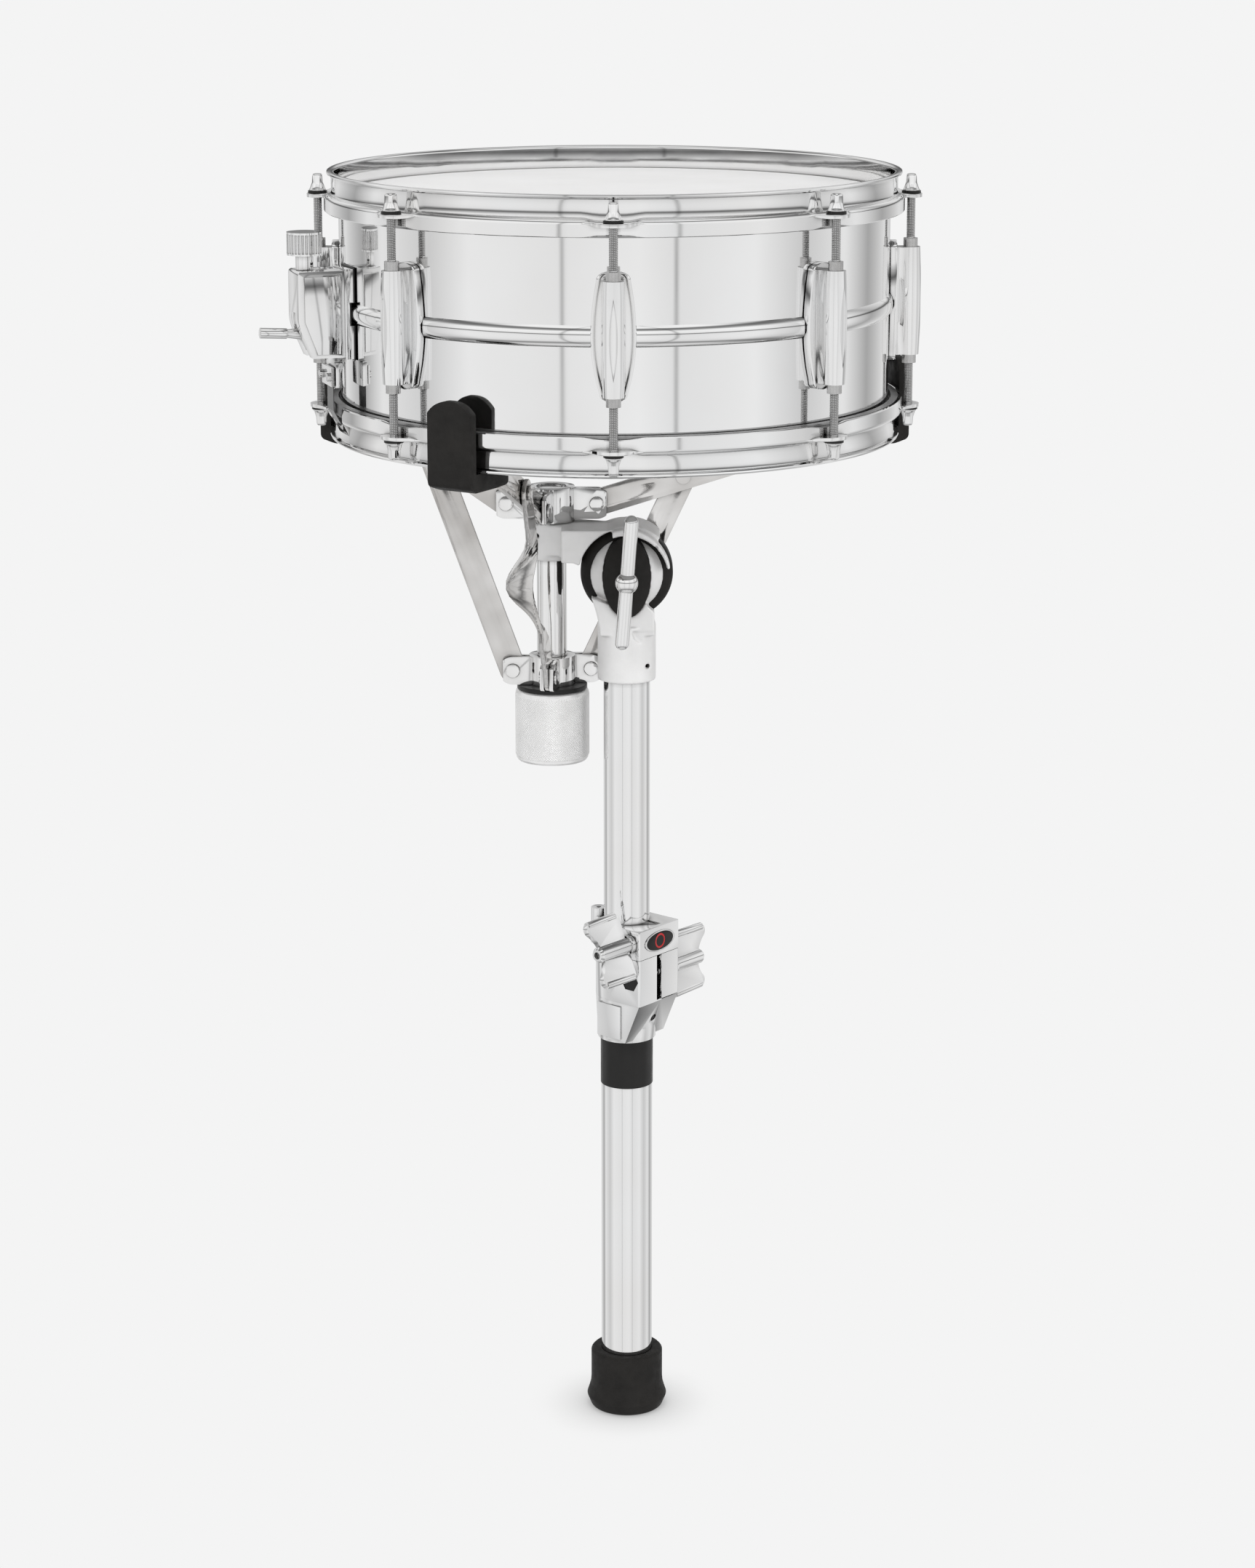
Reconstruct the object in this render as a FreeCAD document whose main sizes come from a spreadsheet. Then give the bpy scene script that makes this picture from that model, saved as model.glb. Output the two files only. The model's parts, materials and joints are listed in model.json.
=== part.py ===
import FreeCAD, Part
import math
import os

import Sketcher
from FreeCAD import Matrix, Placement, Rotation, Vector

# Snare drum (14 x 5.5 inch, chrome) gripped by a three-arm basket on a single-tube stand.
# Frame: millimetres, +Z up, origin at the centre of the foot's underside, -Y towards the player.
# "Azimuth" is measured about a vertical axis from -Y, positive towards +X.

os.makedirs("parts", exist_ok=True)
doc = FreeCAD.newDocument("snare_drum_on_stand")

# ---------------------------------------------------------------- driving dimensions
SIZES = {
    # stand, foot to tilter
    "foot_radius": 24.4,
    "foot_flare": 27.3,
    "foot_height": 41,
    "foot_sole": 8,
    "lower_tube_radius": 17.2,
    "lower_tube_bore": 15.75,
    "lower_tube_top": 296,
    "sleeve_bottom": 234,
    "sleeve_wall": 0.5,
    "clamp_bottom": 267,
    "clamp_split": 298,
    "clamp_top": 329,
    "clamp_half_width": 20.8,
    "clamp_reach": 28.5,
    "clamp_azimuth": 50,
    "clamp_bolt_offset": 19.8,
    "clamp_bolt_level": 314,
    "bush_wall": 1.1,
    "bush_gap": 0.08,
    "lock_bottom": 329.3,
    "lock_height": 19.5,
    "upper_tube_radius": 15.4,
    "upper_tube_wall": 1.4,
    "upper_tube_bottom": 140,
    "upper_tube_top": 545,
    "wing_span": 46,
    "wing_reach": 33,
    # tilter
    "socket_radius": 19.3,
    "socket_bottom": 515,
    "socket_top": 553,
    "tilter_level": 587,
    "ball_radius": 30.5,
    "handle_length": 80.2,
    "handle_radius": 4.7,
    "handle_offset": 37,
    "handle_lean": 4.3,
    "handle_ball": 7.6,
    "bolt_radius": 3.4,
    # basket
    "hub_across": -50,
    "hub_back": 24,
    "basket_tube_radius": 9.95,
    "basket_tube_bottom": 463,
    "top_hub_bottom": 617.3,
    "top_hub_height": 23.2,
    "low_hub_bottom": 506.3,
    "low_hub_height": 19.5,
    "arm_thickness": 3.6,
    "arm_depth": 17.5,
    "pivot_reach": 30,
    "low_pivot_reach": 26,
    "link_lever": 60,
    "link_thickness": 3,
    "link_width": 18,
    "plate_thickness": 2.6,
    "side_gap": 0.3,
    "rivet_radius": 3,
    "pivot_gap": 0.05,
    "open_pivot_gap": 0.9,
    "nut_radius": 24.9,
    "nut_height": 49,
    "nut_bottom": 454.2,
    "pad_half_width": 15.5,
    "pad_bottom": 669,
    "pad_top": 726,
    "pad_shoulder": 8,
    "pad_wall": 7,
    "arm_height": 6.1,
    "tip_depth": 9.6,
    "knee_radius": 141,
    "tip_radius": 183,
    # drum
    "drum_across": -7.9,
    "drum_bottom": 681.5,
    "drum_height": 171,
    "shell_radius": 177.8,
    "shell_wall": 1.2,
    "shell_depth": 139.7,
    "bead_half": 6.6,
    "bead_rise": 2.6,
    "film": 0.4,
    "hoop_wall": 2.3,
    "hoop_inner": 180,
    "hoop_outer": 187,
    "hoop_drop": 14.3,
    "band_drop": 25.4,
    "ear_drop": 16,
    "ear_tip": 198.6,
    "screw_spacing": 44,
    "screw_hole": 2.05,
    "rod_circle": 191.5,
    "rod_radius": 2.5,
    "lug_half": 35,
    "lug_plate_half": 39.3,
    "lug_radius": 6.4,
    "bush_radius": 4.4,
    "bush_rise": 5.6,
    "rods": 8,
    "strainer_azimuth": -71,
    "strainer_face": 213.5,
    "strainer_half_width": 13,
    "knob_radius": 11,
    "wire_radius": 0.75,
    "wires": 20,
}

sheet = doc.addObject("Spreadsheet::Sheet", "sizes")
for row, (alias, number) in enumerate(SIZES.items(), 1):
    sheet.set("A%d" % row, alias)
    sheet.set("B%d" % row, str(number))
    sheet.setAlias("B%d" % row, alias)
doc.recompute()


def size(alias):
    """A driving dimension, read from the sheet."""
    return float(sheet.get(alias))


# ---------------------------------------------------------------- builders
pieces = []


def keep(piece, label, placement=None):
    """Name a finished sub-part and put it in its place."""
    piece.Label = label
    if placement is not None:
        piece.Placement = placement
    pieces.append(piece)
    return piece


def origin_plane(body, role):
    return next(f for f in body.Origin.OriginFeatures if f.Role == role)


def turned(name, profile):
    """A PartDesign body turned about Z from (radius, height) formulas over the sheet."""
    body = doc.addObject("PartDesign::Body", name)
    sketch = body.newObject("Sketcher::SketchObject", name + "_profile")
    sketch.AttachmentSupport = (origin_plane(body, "XZ_Plane"), [""])
    sketch.MapMode = "FlatFace"
    count = len(profile)
    # the corners start round a circle, and the bound constraints take them to their places
    turns = [-2 * math.pi * i / count for i in range(count)]
    start = [Vector(60 + 40 * math.cos(a), 60 + 40 * math.sin(a), 0) for a in turns]
    for i in range(count):
        sketch.addGeometry(Part.LineSegment(start[i], start[(i + 1) % count]))
    for i in range(count):
        sketch.addConstraint(Sketcher.Constraint("Coincident", i, 2, (i + 1) % count, 1))
    for i, corner in enumerate(profile):
        for kind, axis, formula, first in zip(("DistanceX", "DistanceY"), (-2, -1), corner, start[i]):
            if formula == "0":
                sketch.addConstraint(Sketcher.Constraint("PointOnObject", i, 1, axis))
                continue
            index = sketch.addConstraint(Sketcher.Constraint(kind, -1, 1, i, 1, first))
            sketch.setExpression("Constraints[%d]" % index, formula)
    turn = body.newObject("PartDesign::Revolution", name + "_turn")
    turn.Profile = sketch
    turn.ReferenceAxis = (sketch, ["V_Axis"])
    turn.Angle = 360
    doc.recompute()
    return body


def formed(name, shape, placement=None):
    """A sub-part whose free shape is made with Part's own functions."""
    item = doc.addObject("Part::Feature", name)
    item.Shape = shape
    return keep(item, name, placement)


def cylinder(radius, low, high, centre=(0, 0)):
    return Part.makeCylinder(radius, high - low, Vector(centre[0], centre[1], low))


def ring(outer, inner, low, high, centre=(0, 0)):
    return cylinder(outer, low, high, centre).cut(cylinder(inner, low - 1, high + 1, centre))


def box(x0, x1, y0, y1, z0, z1):
    return Part.makeBox(x1 - x0, y1 - y0, z1 - z0, Vector(x0, y0, z0))


def rod(start, end, radius):
    """A round bar between two points."""
    line = Vector(*end) - Vector(*start)
    return Part.makeCylinder(radius, line.Length, Vector(*start), line)


def outline(points, plane="xz"):
    """A closed face; a point of three numbers pairs is an arc: (mid, end)."""
    def lift(p):
        if plane == "xz":
            return Vector(p[0], 0, p[1])
        if plane == "yz":
            return Vector(0, p[0], p[1])
        return Vector(p[0], p[1], 0)

    edges = []
    here = lift(points[0])
    for step in points[1:] + [points[0]]:
        if isinstance(step[0], tuple):
            middle, end = lift(step[0]), lift(step[1])
            edges.append(Part.Arc(here, middle, end).toShape())
        else:
            end = lift(step)
            if (end - here).Length < 1e-6:
                continue
            edges.append(Part.LineSegment(here, end).toShape())
        here = end
    return Part.Face(Part.Wire(edges))


def slab(points, plane, low, high):
    """The outline extruded across its plane, from low to high."""
    across = {"xz": Vector(0, 1, 0), "yz": Vector(1, 0, 0), "xy": Vector(0, 0, 1)}[plane]
    face = outline(points, plane)
    face.translate(across * low)
    return face.extrude(across * (high - low))


def joined(*shapes):
    return shapes[0].fuse(list(shapes[1:])).removeSplitter()


def less(shape, *tools):
    """The shape with each tool cut away in turn."""
    for tool in tools:
        shape = shape.cut(tool)
    return shape.removeSplitter()


def about_z(shape, degrees):
    turned_shape = shape.copy()
    turned_shape.rotate(Vector(0, 0, 0), Vector(0, 0, 1), degrees)
    return turned_shape


def bearing(azimuth):
    """The turn about Z that takes +X to the given azimuth."""
    return azimuth - 90


def heading(azimuth):
    a = math.radians(azimuth)
    return Vector(math.sin(a), -math.cos(a), 0)


def ellipsoid(rx, ry, rz):
    stretch = Matrix()
    stretch.scale(rx, ry, rz)
    return Part.makeSphere(1).transformGeometry(stretch)


def hexagon(across_flats, low, high):
    corner = across_flats / math.sqrt(3)
    points = [(corner * math.cos(math.radians(60 * i)),
               corner * math.sin(math.radians(60 * i))) for i in range(6)]
    return slab(points, "xy", low, high)


# ---------------------------------------------------------------- drum
# Drum pieces are drawn about the drum's own axis with height 0 at its lowest edge.
DRUM = Placement(Vector(size("drum_across"), 0, size("drum_bottom")), Rotation())
MIDDLE = size("drum_height") / 2
STRAINER = size("strainer_azimuth")
SCREW_LEVELS = (-size("screw_spacing") / 2, size("screw_spacing") / 2)
ROD_AZIMUTHS = [i * 360 / size("rods") for i in range(int(size("rods")))]


def on_drum(azimuth):
    """Placement for a piece drawn with its radial direction along +X."""
    return DRUM.multiply(Placement(Vector(), Rotation(Vector(0, 0, 1), bearing(azimuth))))


def both_ends(shape):
    """A shape and its mirror image in the drum's middle plane."""
    return [shape, shape.mirror(Vector(0, 0, MIDDLE), Vector(0, 0, 1))]


def make_shell():
    edge = "sizes.drum_height / 2 + sizes.shell_depth / 2"
    foot = "sizes.drum_height / 2 - sizes.shell_depth / 2"
    mid = "sizes.drum_height / 2"
    out = "sizes.shell_radius"
    bulge = "sizes.shell_radius + sizes.bead_rise"
    thick = "sizes.shell_wall"
    body = turned("shell_blank", [
        (out + " - 3.4", foot), (out + " - 1.6", foot), (out, foot + " + 1.6"),
        (out, mid + " - sizes.bead_half"), (bulge + " - 0.9", mid + " - sizes.bead_half * 0.62"),
        (bulge, mid + " - sizes.bead_half * 0.25"), (bulge, mid + " + sizes.bead_half * 0.25"),
        (bulge + " - 0.9", mid + " + sizes.bead_half * 0.62"), (out, mid + " + sizes.bead_half"),
        (out, edge + " - 1.6"), (out + " - 1.6", edge), (out + " - 3.4", edge),
        (out + " - 3.4", edge + " - " + thick), (out + " - " + thick, edge + " - 3"),
        (out + " - " + thick, foot + " + 3"), (out + " - 3.4", foot + " + " + thick),
    ])
    reach = size("shell_radius") + 5
    holes = [rod((reach - 15, 0, MIDDLE + dz), (reach, 0, MIDDLE + dz), 2.6) for dz in SCREW_LEVELS]
    drilled = body.Shape
    for azimuth in ROD_AZIMUTHS + [STRAINER, STRAINER + 180]:
        for hole in holes:
            drilled = drilled.cut(about_z(hole, bearing(azimuth)))
    vent = rod((reach - 15, 0, MIDDLE + 30), (reach, 0, MIDDLE + 30), 5)
    formed("shell", drilled.cut(about_z(vent, bearing(157.5))), DRUM)


def make_heads():
    edge = MIDDLE + size("shell_depth") / 2
    radius, film = size("shell_radius"), size("film")
    skin = [(0, edge + 0.1), (radius - 1.4, edge + 0.1), (radius + 0.8, edge - 2.2),
            (radius + 1.1, edge - 7),
            (radius + 1.1 + film, edge - 7), (radius + 0.8 + film, edge - 2),
            (radius - 1.2, edge + 0.1 + film),
            (0, edge + 0.1 + film)]
    disc = outline(skin, "xz").revolve(Vector(), Vector(0, 0, 1), 360)
    flange = size("drum_height") - size("hoop_drop") - size("hoop_wall")
    flesh = Part.makeTorus(radius + 4.4, 2.2, Vector(0, 0, flange - 2.4))
    flesh = flesh.fuse(ring(radius + 6.4, radius + 1.9, flange - 9, flange - 2.4)).removeSplitter()
    for label, skin_shape, ring_shape in zip(("batter", "snare"), both_ends(disc), both_ends(flesh)):
        formed(label + "_head", skin_shape, DRUM)
        formed(label + "_head_ring", ring_shape, DRUM)


def hoop_blank():
    """A triple-flanged hoop: rolled lip, upright collar, flange and down-turned band, with its ears."""
    top = size("drum_height")
    wall, inner, outer = size("hoop_wall"), size("hoop_inner"), size("hoop_outer")
    flange, band = top - size("hoop_drop"), top - size("band_drop")
    ear = top - size("ear_drop")
    round_over = 1.4
    section = [(inner, flange - wall), (outer - wall, flange - wall), (outer - wall, band), (outer, band),
               (outer, flange - round_over),
               ((outer - 0.29 * round_over, flange - 0.29 * round_over), (outer - round_over, flange)),
               (inner + wall + 1, flange), ((inner + wall + 0.29, flange + 0.29),
                                            (inner + wall, flange + 1)),
               (inner + wall, top - wall - 0.8),
               ((inner + wall + 0.23, top - wall - 0.23), (inner + wall + 0.8, top - wall)),
               (inner + 2 * wall, top - wall), ((inner + 2 * wall + 0.5 * wall, top - wall / 2),
                                                (inner + 2 * wall, top)),
               (inner + 2, top), ((inner + 0.58, top - 0.58), (inner, top - 2))]
    hoop = outline(section, "xz").revolve(Vector(), Vector(0, 0, 1), 360)
    hollow = slab([(-22, band - 1), (-22, band), ((-15.5, band + 1.2), (-12.5, band + 3.6)),
                   ((-10.8, ear - wall - 0.8), (-8, ear - wall)), (8, ear - wall),
                   ((10.8, ear - wall - 0.8), (12.5, band + 3.6)), ((15.5, band + 1.2), (22, band)),
                   (22, band - 1)],
                  "yz", outer - wall - 1, outer + 6)
    dip = slab([(inner + 3.6, -10), ((inner + 3, 0), (inner + 3.6, 10)), (outer + 5, 19), (outer + 5, -19)],
               "xy", ear, flange + 1)
    tip = size("ear_tip")
    plate = slab([(outer - 1.9, -20), ((outer + 1.2, -15.5), (outer + 4.4, -11.2)),
                  ((tip, 0), (outer + 4.4, 11.2)),
                  ((outer + 1.2, 15.5), (outer - 1.9, 20))], "xy", ear - wall, ear)
    plate = plate.cut(cylinder(outer - wall, ear - wall - 1, ear + 1))
    hole = cylinder(size("rod_radius") + 0.6, ear - 2 * wall, flange + 1, (size("rod_circle"), 0))
    for azimuth in ROD_AZIMUTHS:
        turn = bearing(azimuth)
        hoop = hoop.cut([about_z(hollow, turn), about_z(dip, turn)])
        hoop = hoop.fuse(about_z(plate, turn))
        hoop = hoop.cut(about_z(hole, turn))
    return hoop.removeSplitter()


def make_hoops():
    top, bottom = both_ends(hoop_blank())
    gate = box(size("hoop_inner") - 6, size("ear_tip") + 2, -12.5, 12.5, 7.6, size("band_drop") + 1)
    for azimuth in (STRAINER, STRAINER + 180):
        bottom = bottom.cut(about_z(gate, bearing(azimuth)))
    formed("top_hoop", top, DRUM)
    formed("bottom_hoop", bottom, DRUM)


def shell_clear(extra, low, high):
    """The space inside the shell's outer face and bead, taken off pieces that sit on it."""
    face = cylinder(size("shell_radius") + extra, low, high)
    bead = cylinder(size("shell_radius") + size("bead_rise") + extra, MIDDLE - 7.4, MIDDLE + 7.4)
    return face.fuse(bead)


def make_lug():
    """A double-ended lug: a rimmed base plate, a web with scooped sides and a barrel for the rods."""
    base = size("shell_radius")
    circle, half, tall = size("rod_circle"), size("lug_half"), size("lug_plate_half")
    z = MIDDLE
    shape = [(-6.2, z - tall + 2), ((0, z - tall), (6.2, z - tall + 2)), ((13.2, z), (6.2, z + tall - 2)),
             ((0, z + tall), (-6.2, z + tall - 2)), ((-13.2, z), (-6.2, z - tall + 2))]
    face = outline(shape, "yz")
    rim = face.makeOffset2D(0).cut(face.makeOffset2D(-1.7))
    plate = face.extrude(Vector(base + 3, 0, 0)).common(cylinder(base + 2.6, z - tall, z + tall))
    lip = rim.extrude(Vector(base + 5, 0, 0)).common(cylinder(base + 4, z - tall, z + tall))
    web = box(base + 2, circle, -5.6, 5.6, z - half, z + half)
    bow = slab([(base + 1, z - half), (base + 1, z - half + 3),
                ((circle - 3.4, z), (base + 1, z + half - 3)),
                (base + 1, z + half), (circle, z + half), (circle, z - half)], "xz", -7.4, 7.4)
    barrel = outline([(0, z - half), (size("lug_radius"), z - half), ((size("lug_radius") + 0.9, z),
                      (size("lug_radius"), z + half)), (0, z + half)], "xz")
    barrel = barrel.revolve(Vector(), Vector(0, 0, 1), 360)
    barrel.translate(Vector(circle, 0, 0))
    lug = plate.fuse([lip, web, bow, barrel])
    bore = cylinder(size("bush_radius"), z - half - 1, z + half + 1, (circle, 0))
    flat = box(circle + size("lug_radius") + 0.25, circle + 12, -9, 9, z - half, z + half)
    screws = [rod((base - 1, 0, z + dz), (base + 7, 0, z + dz), size("screw_hole")) for dz in SCREW_LEVELS]
    return lug.cut([shell_clear(0.1, z - tall - 1, z + tall + 1), bore, flat] + screws).removeSplitter()


def make_lugs():
    lug = make_lug()
    for number, azimuth in enumerate(ROD_AZIMUTHS, 1):
        formed("lug_%d" % number, lug, on_drum(azimuth))


def round_the_drum(parts, azimuths):
    return Part.makeCompound([about_z(part, bearing(azimuth)) for azimuth in azimuths for part in parts])


def make_tension_hardware():
    """Swivel nuts, square-headed rods and their black washers, eight at each end."""
    circle, radius = (size("rod_circle"), 0), size("rod_radius")
    half, rise = size("lug_half"), size("bush_rise")
    z = MIDDLE
    nut = joined(cylinder(size("bush_radius") - 0.05, z + half - 14, z + half, circle),
                 cylinder(size("bush_radius") + 0.2, z + half, z + half + rise, circle))
    nut = nut.cut(cylinder(radius + 0.02, z, z + half + rise + 1, circle))
    ear = size("drum_height") - size("ear_drop")
    washer = ring(6.2, radius + 0.1, ear, ear + 1.6, circle)
    collar = Part.makeCone(5.2, 3.4, 3.4, Vector(circle[0], 0, ear + 2.6))
    rim = cylinder(5.5, ear + 1.6, ear + 2.6, circle)
    key = box(circle[0] - 3, circle[0] + 3, -3, 3, ear + 5.5, ear + 12.6)
    key = key.common(cylinder(3.9, ear + 5, ear + 13, circle))
    crown = Part.makeSphere(9.2, Vector(circle[0], 0, ear + 4))
    stem = cylinder(radius, z + half - 9, ear + 3, circle)
    bolt = joined(stem, rim, collar, key.common(crown))
    formed("lug_swivel_nuts", round_the_drum(both_ends(nut), ROD_AZIMUTHS), DRUM)
    formed("tension_rods", round_the_drum(both_ends(bolt), ROD_AZIMUTHS), DRUM)
    formed("rod_washers", round_the_drum(both_ends(washer), ROD_AZIMUTHS), DRUM)


def make_shell_screws():
    """Round-headed screws put in from inside the shell, with their large washers."""
    inside = size("shell_radius") - size("shell_wall")
    screws = []
    for dz in SCREW_LEVELS:
        level = MIDDLE + dz
        screw = joined(rod((inside - 4, 0, level), (inside + 7.6, 0, level), 2),
                       rod((inside - 3.4, 0, level), (inside - 0.4, 0, level), 4))
        screws.append(screw)
    formed("shell_screws", round_the_drum(screws, ROD_AZIMUTHS + [STRAINER, STRAINER + 180]), DRUM)


def make_vent():
    base, level = size("shell_radius"), MIDDLE + 30
    grommet = joined(rod((base - 2.6, 0, level), (base + 1.4, 0, level), 4.9),
                     rod((base + 0.2, 0, level), (base + 1.4, 0, level), 7.5),
                     rod((base - 2.6, 0, level), (base - 1.5, 0, level), 7))
    formed("vent_grommet", grommet.cut(rod((base - 4, 0, level), (base + 3, 0, level), 3.4)),
           on_drum(157.5))


# ---------------------------------------------------------------- snare strainer and wires
CLAMP_FACE = 190.1
STRAP = 0.5


def make_strainer():
    """The throw-off: a housing on a gasket, its lever, the sliding carriage and the fine-tune knob."""
    z, base, face = MIDDLE, size("shell_radius"), size("strainer_face")
    wide = size("strainer_half_width")
    house = slab([(base + 6, z - 27.5), (base + 6, z + 27.5), (face - 2.5, z + 27.5),
                  ((face - 0.7, z + 26.8), (face, z + 25)), (face, z - 3),
                  ((face - 1.5, z - 10), (face - 4.5, z - 17)),
                  (face - 9, z - 27.5)], "xz", -wide, wide)
    panel = slab([(base + 9, z - 25), (base + 9, z + 24), (face - 4, z + 24), (face - 4, z - 4),
                  (face - 12, z - 25)],
                 "xz", -wide - 0.8, wide + 0.8)
    foot = box(base, base + 6, -wide - 2, wide + 2, z - 28.5, z + 28.5)
    slot = box(face - 24, face + 1, -4.2, 4.2, z - 29, z + 1)
    guide = box(base + 6, base + 13.5, -8.2, 8.2, z - 29, z - 12)
    stem_hole = cylinder(3.1, z + 10, z + 30, (face - 7.5, 0))
    screws = [rod((base - 1, 0, z + dz), (base + 7, 0, z + dz), size("screw_hole")) for dz in SCREW_LEVELS]
    openings = [shell_clear(1.1, z - 40, z + 40), slot, guide, stem_hole] + screws
    house = house.fuse([panel, foot]).cut(openings)
    pin = rod((face - 11.5, -8, z - 13), (face - 11.5, 8, z - 13), 2)
    formed("strainer_housing", house.fuse(pin).removeSplitter(), on_drum(STRAINER))
    pad = box(base, base + 1.1, -wide - 2.8, wide + 2.8, z - 29.3, z + 29.3)
    pad = pad.cut(shell_clear(0.05, z - 40, z + 40)).common(cylinder(base + 1.1, z - 40, z + 40))
    bead_pad = ring(base + size("bead_rise") + 1.05, base + size("bead_rise") + 0.1, z - 7.3, z + 7.3)
    bead_pad = bead_pad.common(box(base, base + 8, -wide - 2, wide + 2, z - 8, z + 8))
    holes = [rod((base - 1, 0, z + dz), (base + 7, 0, z + dz), 2.3) for dz in SCREW_LEVELS]
    formed("strainer_gasket", Part.makeCompound([pad.cut(holes), bead_pad]), on_drum(STRAINER))
    pivot = Vector(face - 11.5, 0, z - 13)
    lever = joined(rod((pivot.x, -3.9, pivot.z), (pivot.x, 3.9, pivot.z), 6),
                   Part.makeCone(4, 2.6, 12, pivot + Vector(5, 0, 0), Vector(1, 0, 0.06)),
                   rod((pivot.x + 16.5, 0, pivot.z + 0.7), (pivot.x + 33.5, 0, pivot.z + 1.7), 3.4))
    lever = lever.cut(rod((pivot.x, -8, pivot.z), (pivot.x, 8, pivot.z), 2.05))
    formed("strainer_lever", lever.removeSplitter(), on_drum(STRAINER))
    carriage = joined(box(base + 6.4, base + 12.2, -7.8, 7.8, z - 47, z - 22),
                      box(base + 6.4, base + 12.2, -12, 12, z - 47, z - 31))
    formed("strainer_carriage", carriage, on_drum(STRAINER))
    knob = joined(cylinder(size("knob_radius"), z + 37, z + 51.5), cylinder(5.6, z + 27.9, z + 37),
                  cylinder(3, z + 12, z + 28))
    grooves = [cylinder(0.8, z + 38.2, z + 50.2,
                        (size("knob_radius") * math.cos(a), size("knob_radius") * math.sin(a)))
               for a in [math.radians(i * 12) for i in range(30)]]
    formed("strainer_knob", knob.removeSplitter().cut(grooves), DRUM.multiply(Placement(
        heading(STRAINER) * (face - 7.5), Rotation(Vector(0, 0, 1), bearing(STRAINER)))))


def strap_clamp(low, high, half):
    """A clamp plate and its two screws, over the end of a strap."""
    plate = box(CLAMP_FACE + STRAP + 0.3, CLAMP_FACE + STRAP + 2.3, -half, half, low, high)
    level = (low + high) / 2
    screws = []
    for side in (-1, 1):
        y = side * (half - 2.4)
        head = rod((CLAMP_FACE + STRAP + 2.3, y, level), (CLAMP_FACE + STRAP + 4.6, y, level), 2.6)
        slot = box(CLAMP_FACE + STRAP + 3.8, CLAMP_FACE + 9, y - 0.4, y + 0.4, level - 3, level + 3)
        screws.append(head.cut(slot))
    return Part.makeCompound([plate] + screws)


def make_butt():
    z, base = MIDDLE, size("shell_radius")
    body = slab([(base, z - 48), (base, z + 26), (base + 8, z + 26),
                 ((base + 10.5, z + 10), (CLAMP_FACE, z - 14)),
                 (CLAMP_FACE, z - 48)], "xz", -10.8, 10.8)
    screws = [rod((base - 1, 0, z + dz), (base + 7, 0, z + dz), size("screw_hole")) for dz in SCREW_LEVELS]
    formed("butt_plate", body.cut([shell_clear(0.2, z - 60, z + 60)] + screws), on_drum(STRAINER + 180))
    formed("butt_clamp", strap_clamp(z - 46, z - 34, 12), on_drum(STRAINER + 180))
    formed("strainer_clamp", strap_clamp(z - 46, z - 34, 12), on_drum(STRAINER))


def make_snares():
    """Twenty wires between two end plates under the snare head, held by a strap at each end."""
    z, low = MIDDLE, MIDDLE - size("shell_depth") / 2
    radius = size("wire_radius")
    level = low - size("film") - 0.15 - radius
    count = int(size("wires"))
    pitch = 2.4
    offsets = [(i - (count - 1) / 2) * pitch for i in range(count)]
    lines = [rod((-149.4, y, level), (149.4, y, level), radius) for y in offsets]
    ends = [box(side * 158 - 8.5, side * 158 + 8.5, -25, 25, level - 0.7, level - 0.1) for side in (-1, 1)]
    formed("snare_wires", Part.makeCompound(lines + ends), on_drum(STRAINER))
    under = level - radius - STRAP
    over = under + STRAP
    strap = slab([(152, under), (176, under), (186, under + 1.8), (CLAMP_FACE + STRAP + 0.1, z - 62),
                  (CLAMP_FACE + STRAP + 0.1, z - 34), (CLAMP_FACE + 0.1, z - 34),
                  (CLAMP_FACE + 0.1, z - 61.7),
                  (185.8, over + 1.8), (175.9, over), (152, over)], "xz", -7.5, 7.5)
    formed("snare_straps", Part.makeCompound([strap, about_z(strap, 180)]), on_drum(STRAINER))


make_shell()
make_heads()
make_hoops()
make_lugs()
make_tension_hardware()
make_shell_screws()
make_vent()
make_strainer()
make_butt()
make_snares()


# ---------------------------------------------------------------- stand: foot, tubes and height clamp
# Stand pieces are drawn where they stand, about the post's axis.
CLAMP_TURN = bearing(size("clamp_azimuth"))


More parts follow.
